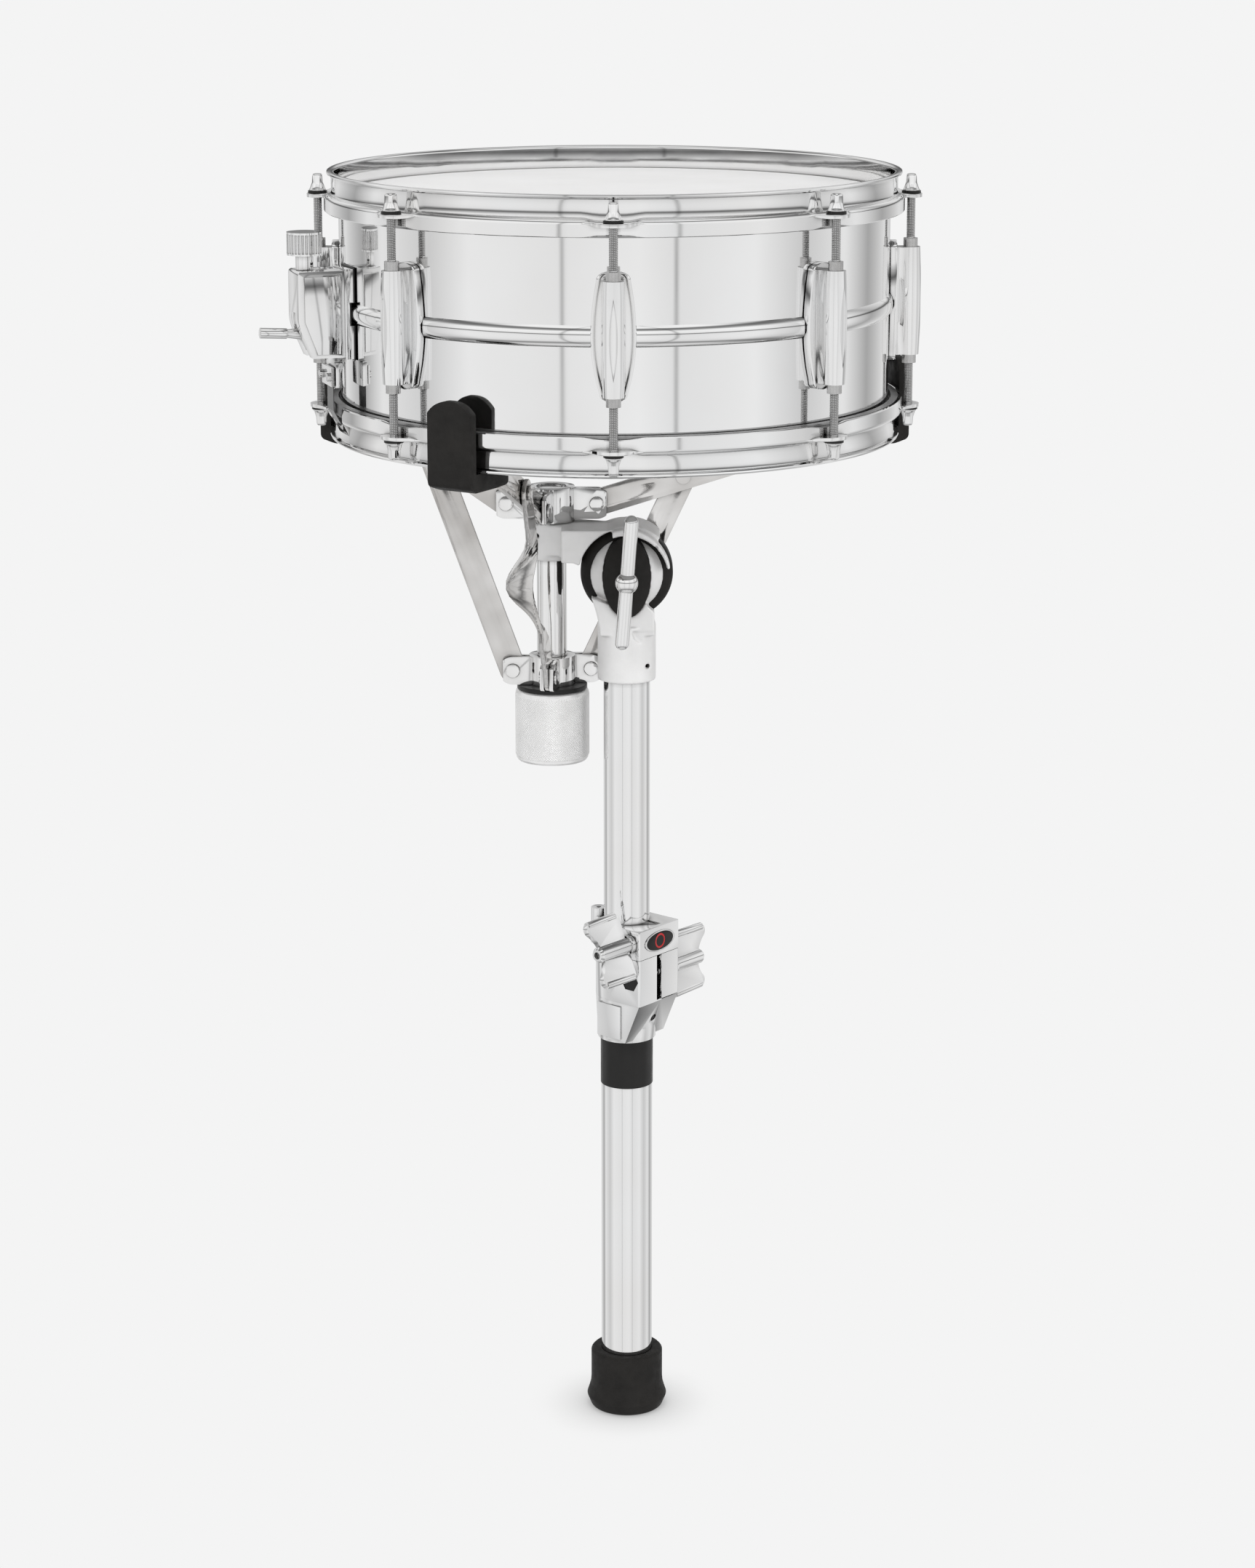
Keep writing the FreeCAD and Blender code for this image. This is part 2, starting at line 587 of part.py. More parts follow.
def make_foot_and_tubes():
    foot = turned("foot", [
        ("0", "0"), ("sizes.foot_flare - 3.6", "0"), ("sizes.foot_flare - 2.7", "0.6"),
        ("sizes.foot_flare - 0.3", "6.4"),
        ("sizes.foot_flare", "7.3"), ("sizes.foot_flare - 0.3", "8.1"), ("sizes.foot_radius + 1.5", "11.4"),
        ("sizes.foot_radius + 0.4", "15.4"), ("sizes.foot_radius", "20"),
        ("sizes.foot_radius", "sizes.foot_height - 1.6"), ("sizes.foot_radius - 1.6", "sizes.foot_height"),
        ("sizes.lower_tube_radius", "sizes.foot_height"), ("sizes.lower_tube_radius", "sizes.foot_sole"),
        ("0", "sizes.foot_sole"),
    ])
    keep(foot, "foot")
    lower = turned("lower_tube", [
        ("sizes.lower_tube_bore", "sizes.foot_sole"), ("sizes.lower_tube_radius", "sizes.foot_sole"),
        ("sizes.lower_tube_radius", "sizes.lower_tube_top"),
        ("sizes.lower_tube_bore", "sizes.lower_tube_top"),
    ])
    keep(lower, "lower_tube")
    sleeve = turned("tube_sleeve", [
        ("sizes.lower_tube_radius", "sizes.sleeve_bottom"),
        ("sizes.lower_tube_radius + sizes.sleeve_wall", "sizes.sleeve_bottom"),
        ("sizes.lower_tube_radius + sizes.sleeve_wall", "sizes.clamp_bottom - 0.1"),
        ("sizes.lower_tube_radius", "sizes.clamp_bottom - 0.1"),
    ])
    keep(sleeve, "tube_sleeve")
    bush = turned("clamp_bushing", [
        ("sizes.upper_tube_radius + sizes.bush_gap", "sizes.lower_tube_top + 0.2"),
        ("sizes.upper_tube_radius + sizes.bush_gap + sizes.bush_wall", "sizes.lower_tube_top + 0.2"),
        ("sizes.upper_tube_radius + sizes.bush_gap + sizes.bush_wall", "sizes.clamp_top"),
        ("sizes.upper_tube_radius + sizes.bush_gap", "sizes.clamp_top"),
    ])
    keep(bush, "clamp_bushing")
    upper = turned("upper_tube", [
        ("sizes.upper_tube_radius - sizes.upper_tube_wall", "sizes.upper_tube_bottom"),
        ("sizes.upper_tube_radius", "sizes.upper_tube_bottom"),
        ("sizes.upper_tube_radius", "sizes.upper_tube_top"),
        ("sizes.upper_tube_radius - sizes.upper_tube_wall", "sizes.upper_tube_top"),
    ])
    keep(upper, "upper_tube")


def make_height_clamp():
    """A split casting: a collar with an ear block whose slot the wing bolt closes."""
    half, reach = size("clamp_half_width"), size("clamp_reach")
    low, split, top = size("clamp_bottom"), size("clamp_split"), size("clamp_top")
    offset, level = size("clamp_bolt_offset"), size("clamp_bolt_level")
    plan = [(0, -half), (reach - 1.5, -half), ((reach - 0.45, -half + 0.45), (reach, -half + 1.5)),
            (reach, half - 1.5),
            ((reach - 0.45, half - 0.45), (reach - 1.5, half)), (0, half), ((-half, 0), (0, -half))]
    head = slab(plan, "xy", split - 1, top)
    skirt = Part.makeCone(19.4, half, split - low, Vector(0, 0, low))
    rib = slab([(0, low + 2), (reach - 13, low + 2), (reach - 0.4, split), (0, split)], "xz", 0.6 - half,
               half - 0.6)
    panel = box(-8, 12, -half - 0.6, -half + 6, split - 27, split - 4)
    body = joined(head, skirt, rib, panel)
    slot = box(10, reach + 1, -2.6, 2.6, split, top + 1)
    kerf = box(4, reach + 1, 2.5, half + 1, split - 1, split)
    lower_bore = cylinder(size("lower_tube_radius"), low - 1, size("lower_tube_top") + 0.2)
    bush_bore = cylinder(size("upper_tube_radius") + size("bush_gap") + size("bush_wall"), split - 6,
                         top + 1)
    bolt_hole = rod((offset, -half - 1, level), (offset, half + 1, level), 3.1)
    pocket = hexagon(13, 0, 6)
    pocket.rotate(Vector(), Vector(1, 0, 0), 90)
    pocket.translate(Vector(offset, -half + 4.1, level))
    socket = rod((18, 2, split - 15), (reach + 6, 2, split - 15), 2.5)
    body = less(body, lower_bore, bush_bore, slot, kerf, bolt_hole, pocket, socket)
    formed("height_clamp", about_z(body, CLAMP_TURN))
    nut = hexagon(12.8, 0, 3.6)
    nut.rotate(Vector(), Vector(1, 0, 0), 90)
    nut.translate(Vector(offset, -half + 4.1, level))
    nut = nut.cut(rod((offset, -half - 1, level), (offset, half, level), 3.05))
    cap = rod((offset, -half + 0.9, level), (offset, -half + 0.5, level), 3.6)
    formed("clamp_hex_nut", about_z(nut.fuse(cap), CLAMP_TURN))


def wing_bolt(shank):
    """A cast wing bolt along +X: shank behind the origin, hub and two wings ahead of it."""
    span, reach = size("wing_span") / 2, size("wing_reach")
    hub = joined(rod((0, 0, 0), (3, 0, 0), 6.4), rod((3, 0, 0), (reach - 2, 0, 0), 5.2),
                 Part.makeCone(5.2, 3.8, 2, Vector(reach - 2, 0, 0), Vector(1, 0, 0)))
    wing = slab([(4, -7), (3, -span + 5), ((4.5, -span + 1), (8.5, -span)), (reach, -span + 1),
                 ((reach + 3, -span + 4.5), (reach + 1.5, -span + 9)),
                 ((reach - 4.5, 0), (reach + 1.5, span - 9)),
                 ((reach + 3, span - 4.5), (reach, span - 1)), (8.5, span),
                 ((4.5, span - 1), (3, span - 5)), (4, 7)],
                "xz", -1.9, 1.9)
    bead = [rod((6, 0, side * (span - 2)), (reach + 0.5, 0, side * (span - 2.6)), 2.6) for side in (-1, 1)]
    stem = rod((-shank, 0, 0), (0.5, 0, 0), 3)
    dimple = rod((reach - 3, 0, 0), (reach + 9, 0, 0), 2.4)
    return joined(hub, wing, stem, *bead).cut(dimple)


def make_clamp_bolt():
    offset, level, half = size("clamp_bolt_offset"), size("clamp_bolt_level"), size("clamp_half_width")
    turn = Rotation(Vector(0, 0, 1), CLAMP_TURN + 90)
    seat = heading(size("clamp_azimuth")) * offset - heading(size("clamp_azimuth") - 90) * (half + 0.3)
    formed("clamp_wing_bolt", wing_bolt(2 * half - 3.6), Placement(seat + Vector(0, 0, level), turn))


def make_memory_lock():
    """The collar that keeps the height: hinged, with its own wing bolt, and a seat for a badge."""
    half, reach = size("clamp_half_width"), size("clamp_reach")
    low, top = size("lock_bottom"), size("lock_bottom") + size("lock_height")
    offset = size("clamp_bolt_offset")
    plan = [(0, -half), (reach - 0.8, -half), (reach, -half + 0.8), (reach, half - 0.8),
            (reach - 0.8, half), (0, half),
            ((-half, 0), (0, -half))]
    body = slab(plan, "xy", low, top)
    hinge = cylinder(5.2, low, top + 5, (-half - 0.5, -4))
    body = body.fuse(hinge)
    bore = cylinder(size("upper_tube_radius"), low - 1, top + 6)
    slot = box(12, reach - 4, 3, 6.5, low + 3, top + 1)
    level = (low + top) / 2 + 0.5
    hole = rod((offset, -half - 1, level), (offset, 0, level), 3.1)
    hinge_hole = cylinder(1.6, top - 2, top + 6, (-half - 0.5, -4))
    body = body.cut([bore, slot, hole, hinge_hole]).removeSplitter()
    formed("memory_lock", about_z(body, CLAMP_TURN))
    turn = Rotation(Vector(0, 0, 1), CLAMP_TURN - 90).multiply(Rotation(Vector(1, 0, 0), 24))
    seat = heading(size("clamp_azimuth")) * offset + heading(size("clamp_azimuth") - 90) * (half + 0.3)
    formed("memory_wing_bolt", wing_bolt(half - 2), Placement(seat + Vector(0, 0, level), turn))


# ---------------------------------------------------------------- tilter
PIVOT = Vector(0, 0, size("tilter_level"))


def oval_bar(rx, rz, front, back):
    """A straight bar along Y with an oval section."""
    stretch = Matrix()
    stretch.scale(rx, 1, rz)
    return rod((0, front, 0), (0, back, 0), 1).transformGeometry(stretch)


def make_tilter():
    """A friction disc with an oval dome, the forked socket that holds it, and the T-handle bolt."""
    r = size("ball_radius")
    disc = outline([(0, 0), (r - 8, 0), ((r - 2, 2.4), (r, 8)), (r, 18), ((r - 1.5, 21), (r - 5, 23)),
                    (0, 23)], "xz")
    disc = disc.revolve(Vector(), Vector(0, 0, 1), 360)
    disc.rotate(Vector(), Vector(1, 0, 0), -90)
    disc.translate(Vector(0, -8, 0))
    dome = oval_bar(15.4, 27, -30, -1).common(ellipsoid(25, 25.5, 42))
    bore = rod((0, -30, 0), (0, 30, 0), size("bolt_radius") + size("pivot_gap"))
    ball = disc.fuse(dome)
    formed("tilter_ball", ball.cut(bore), Placement(PIVOT, Rotation()))
    drop = size("socket_bottom") - size("tilter_level")
    shoulder = size("socket_top") - size("tilter_level")
    stub = cylinder(size("socket_radius"), drop, shoulder)
    neck = slab([(-17.5, shoulder - 6), (18.2, shoulder - 6), (18.2, -24), (12, -18), (-12, -18),
                 (-23.5, -14), ((-19.2, shoulder + 6), (-17.5, shoulder - 6))], "xz", -17, 15)
    jaws = ellipsoid(26.2, 21.5, 26.8).common(box(-30, 30, -30, -7.8, -30, 30))
    jaws = jaws.cut(oval_bar(15.5, 27.1, -31, 0))
    seam = box(14, 30, -30, -11, 4.4, 5)
    slot = box(19.4, 21.6, -30, -13, -7.4, -2.6)
    relief = rod((12, -25, shoulder - 2.5), (12, 0, shoulder - 2.5), 8.5)
    relief = relief.common(box(0, 30, -30, -16.2, -50, shoulder - 2.5))
    tube = cylinder(size("upper_tube_radius"), drop - 1,
                    size("upper_tube_top") - size("tilter_level") + 0.2)
    screw = rod((13.5, -30, drop + 11), (13.5, -8, drop + 11), 1.6)
    socket = less(joined(stub, neck, jaws), ball, seam, slot, relief, tube, screw)
    formed("tilter_socket", socket, Placement(PIVOT, Rotation()))
    half, thick, out = size("handle_length") / 2, size("handle_radius"), size("handle_offset")
    grip = joined(rod((0, 0, -half), (0, 0, half), thick),
                  ellipsoid(size("handle_ball"), 7, size("handle_ball")),
                  *[Part.makeSphere(thick, Vector(0, 0, side * half)) for side in (-1, 1)])
    grip.rotate(Vector(), Vector(0, 1, 0), size("handle_lean"))
    stem = rod((0, 0, 0), (0, out + 24, 0), size("bolt_radius"))
    collar = rod((0, 4, 0), (0, out - 25.9, 0), 6.2)
    formed("tilter_handle", joined(grip, stem, collar), Placement(PIVOT - Vector(0, out, 0), Rotation()))


def make_tilter_arm():
    """The upper casting: boss for the basket tube, arch over the ball, band before it and cheek behind."""
    r = size("ball_radius") + 0.6
    hub = (size("hub_across"), size("hub_back"))
    level = size("tilter_level")
    low, high = size("top_hub_bottom") - 25.5 - level, size("top_hub_bottom") - 0.3 - level
    boss = cylinder(14.6, low, high, hub)
    crown = slab([(-r - 12, high - 22), (-r - 12, high), (-12, high), ((-4, high + 2.7), (4, high + 3.2)),
                  ((14.5, 30.2), (22, 25)), (20.5, 23.4), ((10.5, r - 1.9), (0, r)), ((-22, 22), (-r, 6)),
                  (-r - 4, high - 22)], "xz", -12, 22.5)
    band = slab([(-9.4, 25.6), (-9.4, 30.6), ((0, 32), (9, 30.6)), ((21.3, 21.5), (28.6, 5.6)), (26.6, 5.4),
                 ((21.4, 16.7), (9, 25.7)), ((0, 27.2), (-9.4, 25.6))], "xz", -20.5, -8)
    bridge = slab([(hub[0] - 6, hub[1] - 13.5), (-20, -7), (-6, 12), (-10, 22.5), (hub[0], hub[1] + 14.3)],
                  "xy",
                  low + 4, high)
    back = box(-22, 22, 15.4, 22.5, 0, 33).common(rod((0, 15, 0), (0, 23, 0), 33.2))
    cheek = rod((0, 15.4, 0), (0, 22.5, 0), 22).fuse(back)
    disc = rod((0, -9, 0), (0, 15.4, 0), r)
    jaws = oval_bar(27.1, 27.6, -25, -7)
    bore = rod((0, 10, 0), (0, 30, 0), size("bolt_radius") + size("pivot_gap"))
    tube = cylinder(size("basket_tube_radius"), low - 1, high + 1, hub)
    middle = (low + high) / 2 + 4
    screw = rod((hub[0] - 9.5, hub[1] - 20, middle), (hub[0] - 9.5, hub[1], middle), 1.7)
    slot = box(18.3, 20.1, -30, -18, 18.6, 23)
    arm = less(joined(boss, crown, bridge, cheek, band), disc, jaws, bore, tube, screw, slot)
    formed("tilter_arm", arm, Placement(PIVOT, Rotation()))


# ---------------------------------------------------------------- basket
HUB = Vector(size("hub_across"), size("hub_back"), 0)
# each grip's azimuth about the drum's axis
GRIPS = (-31, 101, -101)
ARM_LEVEL = size("top_hub_bottom") + size("top_hub_height") / 2
LOW_LEVEL = size("low_hub_bottom") + size("low_hub_height") / 2
LINK_SIDE = size("arm_thickness") / 2 + size("side_gap") + size("link_thickness") / 2


def grip_point(azimuth, radius, level):
    return Vector(size("drum_across"), 0, level) + heading(azimuth) * radius


def arm_course(azimuth):
    """Pivot, knee and tip of one arm, and the azimuth at which it leaves the hub."""
    level = size("pad_bottom") + size("arm_height")
    knee = grip_point(azimuth, size("knee_radius"), level)
    tip = grip_point(azimuth, size("tip_radius"), level)
    flat = Vector(knee.x - HUB.x, knee.y - HUB.y, 0)
    leave = math.degrees(math.atan2(flat.x, -flat.y))
    pivot = HUB + heading(leave) * size("pivot_reach") + Vector(0, 0, ARM_LEVEL)
    return pivot, knee, tip, leave


def bar(start, end, depth, thickness, side=0):
    """A flat bar on edge with round ends, between two points; side shifts it across."""
    run = Vector(end.x - start.x, end.y - start.y, 0)
    length = math.hypot(run.Length, end.z - start.z)
    shape = box(0, length, side - thickness / 2, side + thickness / 2, -depth / 2, depth / 2)
    for x in (0, length):
        shape = shape.fuse(rod((x, side - thickness / 2, 0), (x, side + thickness / 2, 0), depth / 2))
    shape = shape.removeSplitter()
    shape.rotate(Vector(), Vector(0, 1, 0), -math.degrees(math.atan2(end.z - start.z, run.Length)))
    shape.rotate(Vector(), Vector(0, 0, 1), math.degrees(math.atan2(run.y, run.x)))
    shape.translate(start)
    return shape


def across(azimuth):
    """The level direction square to an arm, to its left when looking outward."""
    return Vector(0, 0, 1).cross(heading(azimuth))


def pin(centre, direction, half_length, radius):
    return Part.makeCylinder(radius, 2 * half_length, centre - direction * half_length, direction)


def link_joint(pivot, knee):
    """The point on an arm where its link is riveted."""
    along = (knee - pivot).normalize()
    return pivot + along * size("link_lever")


def clevis_pair(leave, reach, level, height, side):
    """Two hub plates with a gap between them, centred a little to one side of the arm's plane."""
    held = size("arm_thickness") if side == 0 else size("link_thickness")
    gap = held / 2 + size("side_gap")
    plate = size("plate_thickness")
    pair = []
    for y0, y1 in ((side + gap, side + gap + plate), (side - gap - plate, side - gap)):
        cheek = box(10, reach, y0, y1, level - height / 2, level + height / 2)
        nose = rod((reach, y0, level), (reach, y1, level), height / 2)
        nose = nose.common(box(reach - 1, reach + 6.5, y0, y1, level - height, level + height))
        pair.append(about_z(cheek.fuse(nose), bearing(leave)))
    shape = pair[0].fuse(pair[1])
    shape.translate(HUB)
    return shape


def rivet(point, side, half):
    """A rivet with a head at each end, through a stack of the given half thickness."""
    radius = size("rivet_radius")
    heads = [pin(point + side * way * (half + 0.8), side, 0.8, radius + 1.7) for way in (-1, 1)]
    return joined(pin(point, side, half + 0.4, radius), *heads)


def make_hubs():
    """The fixed upper hub and the sliding lower one, each with three pairs of plates and rivets."""
    radius = size("basket_tube_radius")
    centre = (HUB.x, HUB.y)
    height, bottom = size("top_hub_height"), size("top_hub_bottom")
    low_height, low_bottom = size("low_hub_height"), size("low_hub_bottom")
    top = cylinder(15.5, bottom, bottom + height, centre)
    low = cylinder(15.5, low_bottom, low_bottom + low_height, centre)
    stack = size("side_gap") + size("plate_thickness")
    top_rivets, low_rivets = [], []
    for azimuth in GRIPS:
        pivot, _, _, leave = arm_course(azimuth)
        side = across(leave)
        low_point = HUB + heading(leave) * size("low_pivot_reach") + side * LINK_SIDE + Vector(0, 0,
                                                                                               LOW_LEVEL)
        top = top.fuse(clevis_pair(leave, size("pivot_reach"), ARM_LEVEL, height - 3, 0))
        low = low.fuse(clevis_pair(leave, size("low_pivot_reach"), LOW_LEVEL, low_height - 0.6, LINK_SIDE))
        top_rivets.append(rivet(pivot, side, size("arm_thickness") / 2 + stack))
        low_rivets.append(rivet(low_point, side, size("link_thickness") / 2 + stack))
    top_bore = cylinder(radius, bottom - 1, bottom + height + 1, centre)
    low_bore = cylinder(radius + 0.08, low_bottom - 1, low_bottom + low_height + 1, centre)
    formed("top_hub", less(top, top_bore, *top_rivets))
    formed("lower_hub", less(low, low_bore, *low_rivets))
    formed("hub_rivets", Part.makeCompound(top_rivets))
    formed("lower_hub_rivets", Part.makeCompound(low_rivets))
    crown = bottom + height - 1
    tube = ring(radius, radius - 1.6, size("basket_tube_bottom"), crown, centre)
    cap = cylinder(radius, crown - 3, crown, centre)
    formed("basket_tube", joined(tube, cap))


def make_nut():
    radius, bottom, height = size("nut_radius"), size("nut_bottom"), size("nut_height")
    centre = Placement(Vector(HUB.x, HUB.y, bottom), Rotation())
    profile = [(0, 0), (radius - 4, 0), ((radius - 1.3, 0.8), (radius - 0.6, 3)), (radius, 3.6),
               (radius, height - 2.6),
               (radius - 0.8, height - 1.2), (radius - 2, height), (0, height)]
    nut = outline(profile, "xz").revolve(Vector(), Vector(0, 0, 1), 360)
    bore = size("basket_tube_radius") + 0.08
    floor = size("basket_tube_bottom") - bottom - 4
    formed("basket_nut", nut.cut(cylinder(bore, floor, height + 1)), centre)
    washer = ring(radius - 1.4, bore + 0.02, height + 0.05, size("low_hub_bottom") - bottom - 0.05)
    formed("nut_washer", washer, centre)


def twisted(start, end, across_start, width, thickness, bow, turns=16):
    """A flat strip between two points, given half a turn along its length and bowed sideways."""
    course = end - start
    along = Vector(course).normalize()
    sections = []
    for i in range(turns + 1):
        share = i / turns
        twist = 180 * min(max((share - 0.16) / 0.68, 0), 1)
        thin = Rotation(along, twist).multVec(across_start)
        wide = along.cross(thin)
        centre = start + course * share + bow * math.sin(math.pi * share) ** 4
        corners = [centre + thin * (a * thickness / 2) + wide * (b * width / 2)
                   for a, b in ((-1, -1), (1, -1), (1, 1), (-1, 1), (-1, -1))]
        sections.append(Part.makePolygon(corners))
    return Part.makeLoft(sections, True, True)


def make_arms_and_links():
    depth, thick = size("arm_depth"), size("arm_thickness")
    fit = size("rivet_radius") + size("pivot_gap")
    for number, azimuth in enumerate(GRIPS, 1):
        pivot, knee, tip, leave = arm_course(azimuth)
        side = across(leave)
        upper = link_joint(pivot, knee)
        arm = bar(pivot, knee, depth, thick).fuse(bar(knee, tip, size("tip_depth"), thick))
        stud = pin(upper + side * (LINK_SIDE / 2 + 0.6), side, LINK_SIDE / 2 + 1.7, size("rivet_radius"))
        head = pin(upper + side * (LINK_SIDE + size("link_thickness") / 2 + 0.9), side, 0.7,
                   size("rivet_radius") + 1.8)
        back = pin(upper - side * (thick / 2 + 0.6), side, 0.7, size("rivet_radius") + 1.8)
        arm = arm.fuse([stud, head, back]).cut(pin(pivot, side, 6, fit))
        formed("arm_%d" % number, arm.removeSplitter())
        low_point = HUB + heading(leave) * size("low_pivot_reach") + Vector(0, 0, LOW_LEVEL)
        shift = side * LINK_SIDE
        link = bar(low_point, upper, size("link_width"), size("link_thickness"), LINK_SIDE)
        if number == 1:
            start, end = upper + shift, low_point + shift
            along = (end - start).normalize()
            first, last = start + along * 16, end - along * 12
            caps = [bar(start, first, size("link_width"), size("link_thickness")),
                    bar(last, end, size("link_width"), size("link_thickness"))]
            bow = Vector(-12, 0, 0)
            link = twisted(first, last, side, size("link_width"), size("link_thickness"), bow).fuse(caps)
        link = link.cut([pin(low_point, side, 12, fit),
                         pin(upper, side, 12, size("rivet_radius") + size("open_pivot_gap"))])
        formed("link_%d" % number, link)


def make_pads():
    """J-shaped rubber grips: a thick base under the hoop, a wall outside it and a lip inside."""
    bottom, top, half = size("pad_bottom"), size("pad_top"), size("pad_half_width")
    ledge = size("drum_bottom") - 0.4
    wall = size("hoop_outer") + 0.8
    out = wall + size("pad_wall")
    side_view = [(152, bottom + 5), ((153, bottom + 2), (156, bottom + 1)), (166, bottom),
                 (out - 10, bottom),
                 (out - 3.4, bottom + 2.6), ((out - 1, bottom + 4), (out, bottom + 7)), (out, top - 3),
                 ((out - 0.9, top - 0.9), (out - 3, top)), (wall + 2.2, top),
                 ((wall + 0.5, top - 0.6), (wall, top - 2.5)),
                 (wall, ledge), (176, ledge), (173.5, ledge + 3), (168, ledge + 3),
                 ((165.5, ledge + 2), (165, ledge - 1)),
                 (152, ledge - 2)]
    solid = slab(side_view, "xz", -half, half)
    shoulder = top - size("pad_shoulder")
    front = slab([(3 - half, bottom), ((0.88 - half, bottom + 0.88), (-half, bottom + 3)),
                  (-half, shoulder),
                  ((0, top), (half, shoulder)), (half, bottom + 3),
                  ((half - 0.88, bottom + 0.88), (half - 3, bottom))],
                 "yz", 100, 220)
    solid = solid.common(front)
    for number, azimuth in enumerate(GRIPS, 1):
        pivot, knee, tip, _ = arm_course(azimuth)
        pad = about_z(solid, bearing(azimuth))
        pad.translate(Vector(size("drum_across"), 0, 0))
        slot = bar(knee, tip, size("tip_depth"), size("arm_thickness"))
        slot = slot.fuse(bar(pivot, knee, size("arm_depth"), size("arm_thickness")))
        formed("pad_%d" % number, pad.cut(slot))


make_foot_and_tubes()
make_height_clamp()
make_clamp_bolt()
make_memory_lock()
make_tilter()
make_tilter_arm()
make_hubs()
make_nut()
make_arms_and_links()
make_pads()


# ---------------------------------------------------------------- checks and files
doc.recompute()
for item in doc.Objects:
    if "Invalid" in item.State or "Error" in item.State:
        raise RuntimeError("%s did not recompute: %s" % (item.Label, item.State))
for piece in pieces:
    if piece.Shape.isNull() or not piece.Shape.isValid():
        raise RuntimeError("%s has no valid shape" % piece.Label)
for piece in pieces:
    piece.Shape.exportStep("parts/%s.step" % piece.Label)
print("%d sub-parts written" % len(pieces))
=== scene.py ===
"""The looks of a chrome snare drum on a single-tube basket stand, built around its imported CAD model."""
import json
import math

import bmesh
import bpy
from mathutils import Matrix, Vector


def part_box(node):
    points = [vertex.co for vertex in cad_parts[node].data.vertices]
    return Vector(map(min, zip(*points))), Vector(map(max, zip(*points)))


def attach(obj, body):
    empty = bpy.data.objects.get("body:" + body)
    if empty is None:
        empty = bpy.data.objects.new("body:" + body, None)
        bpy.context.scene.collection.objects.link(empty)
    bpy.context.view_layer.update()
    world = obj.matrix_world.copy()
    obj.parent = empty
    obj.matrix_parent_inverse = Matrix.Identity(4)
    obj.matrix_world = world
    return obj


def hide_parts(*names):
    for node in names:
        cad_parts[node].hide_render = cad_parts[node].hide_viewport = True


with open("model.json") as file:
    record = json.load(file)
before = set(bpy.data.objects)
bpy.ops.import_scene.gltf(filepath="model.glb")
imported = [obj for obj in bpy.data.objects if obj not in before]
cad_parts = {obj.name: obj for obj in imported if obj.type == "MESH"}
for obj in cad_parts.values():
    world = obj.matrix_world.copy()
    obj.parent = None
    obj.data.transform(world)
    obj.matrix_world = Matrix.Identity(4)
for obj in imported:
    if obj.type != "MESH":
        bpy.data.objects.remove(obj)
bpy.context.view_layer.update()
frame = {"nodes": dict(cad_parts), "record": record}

RECORD = frame["record"]
NODES = frame["nodes"]
BODY_OF = {node: body for body, names in RECORD["behaviour"]["bodies"].items() for node in names}
SLOT_OF = {entry["node"]: entry["material_slot"] for entry in RECORD["subparts"]}
MM = 0.001


# ---------------------------------------------------------------- places read from the frame
def middle(node):
    """The middle of a CAD node's box."""
    low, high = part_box(node)
    return (low + high) / 2


def heading(azimuth):
    """The level direction at an azimuth in degrees from -Y, positive towards +X."""
    return Vector((math.sin(math.radians(azimuth)), -math.cos(math.radians(azimuth)), 0))


# azimuths are in degrees, and the sizes in capital letters here and below are in mm
DRUM = middle("shell")
ROD_STEP = 45
ROD_AZIMUTHS = [ROD_STEP * i for i in range(8)]
ROD_CIRCLE = 191.5
STRAINER_AZIMUTH = -71
CLAMP_AZIMUTH = 50
BACKDROP = 0.905


# ---------------------------------------------------------------- finishes
class Tree:
    """A node tree, with short ways to add nodes to it and to fill their sockets."""

    def __init__(self, tree):
        self.tree = tree

    def node(self, kind, **settings):
        """A new node of a kind, with its settings."""
        made = self.tree.nodes.new(kind)
        for name, value in settings.items():
            setattr(made, name, value)
        return made

    def feed(self, socket, value):
        """Links a socket to another node's output, or sets it to a constant."""
        if isinstance(value, bpy.types.NodeSocket):
            self.tree.links.new(value, socket)
        else:
            socket.default_value = value


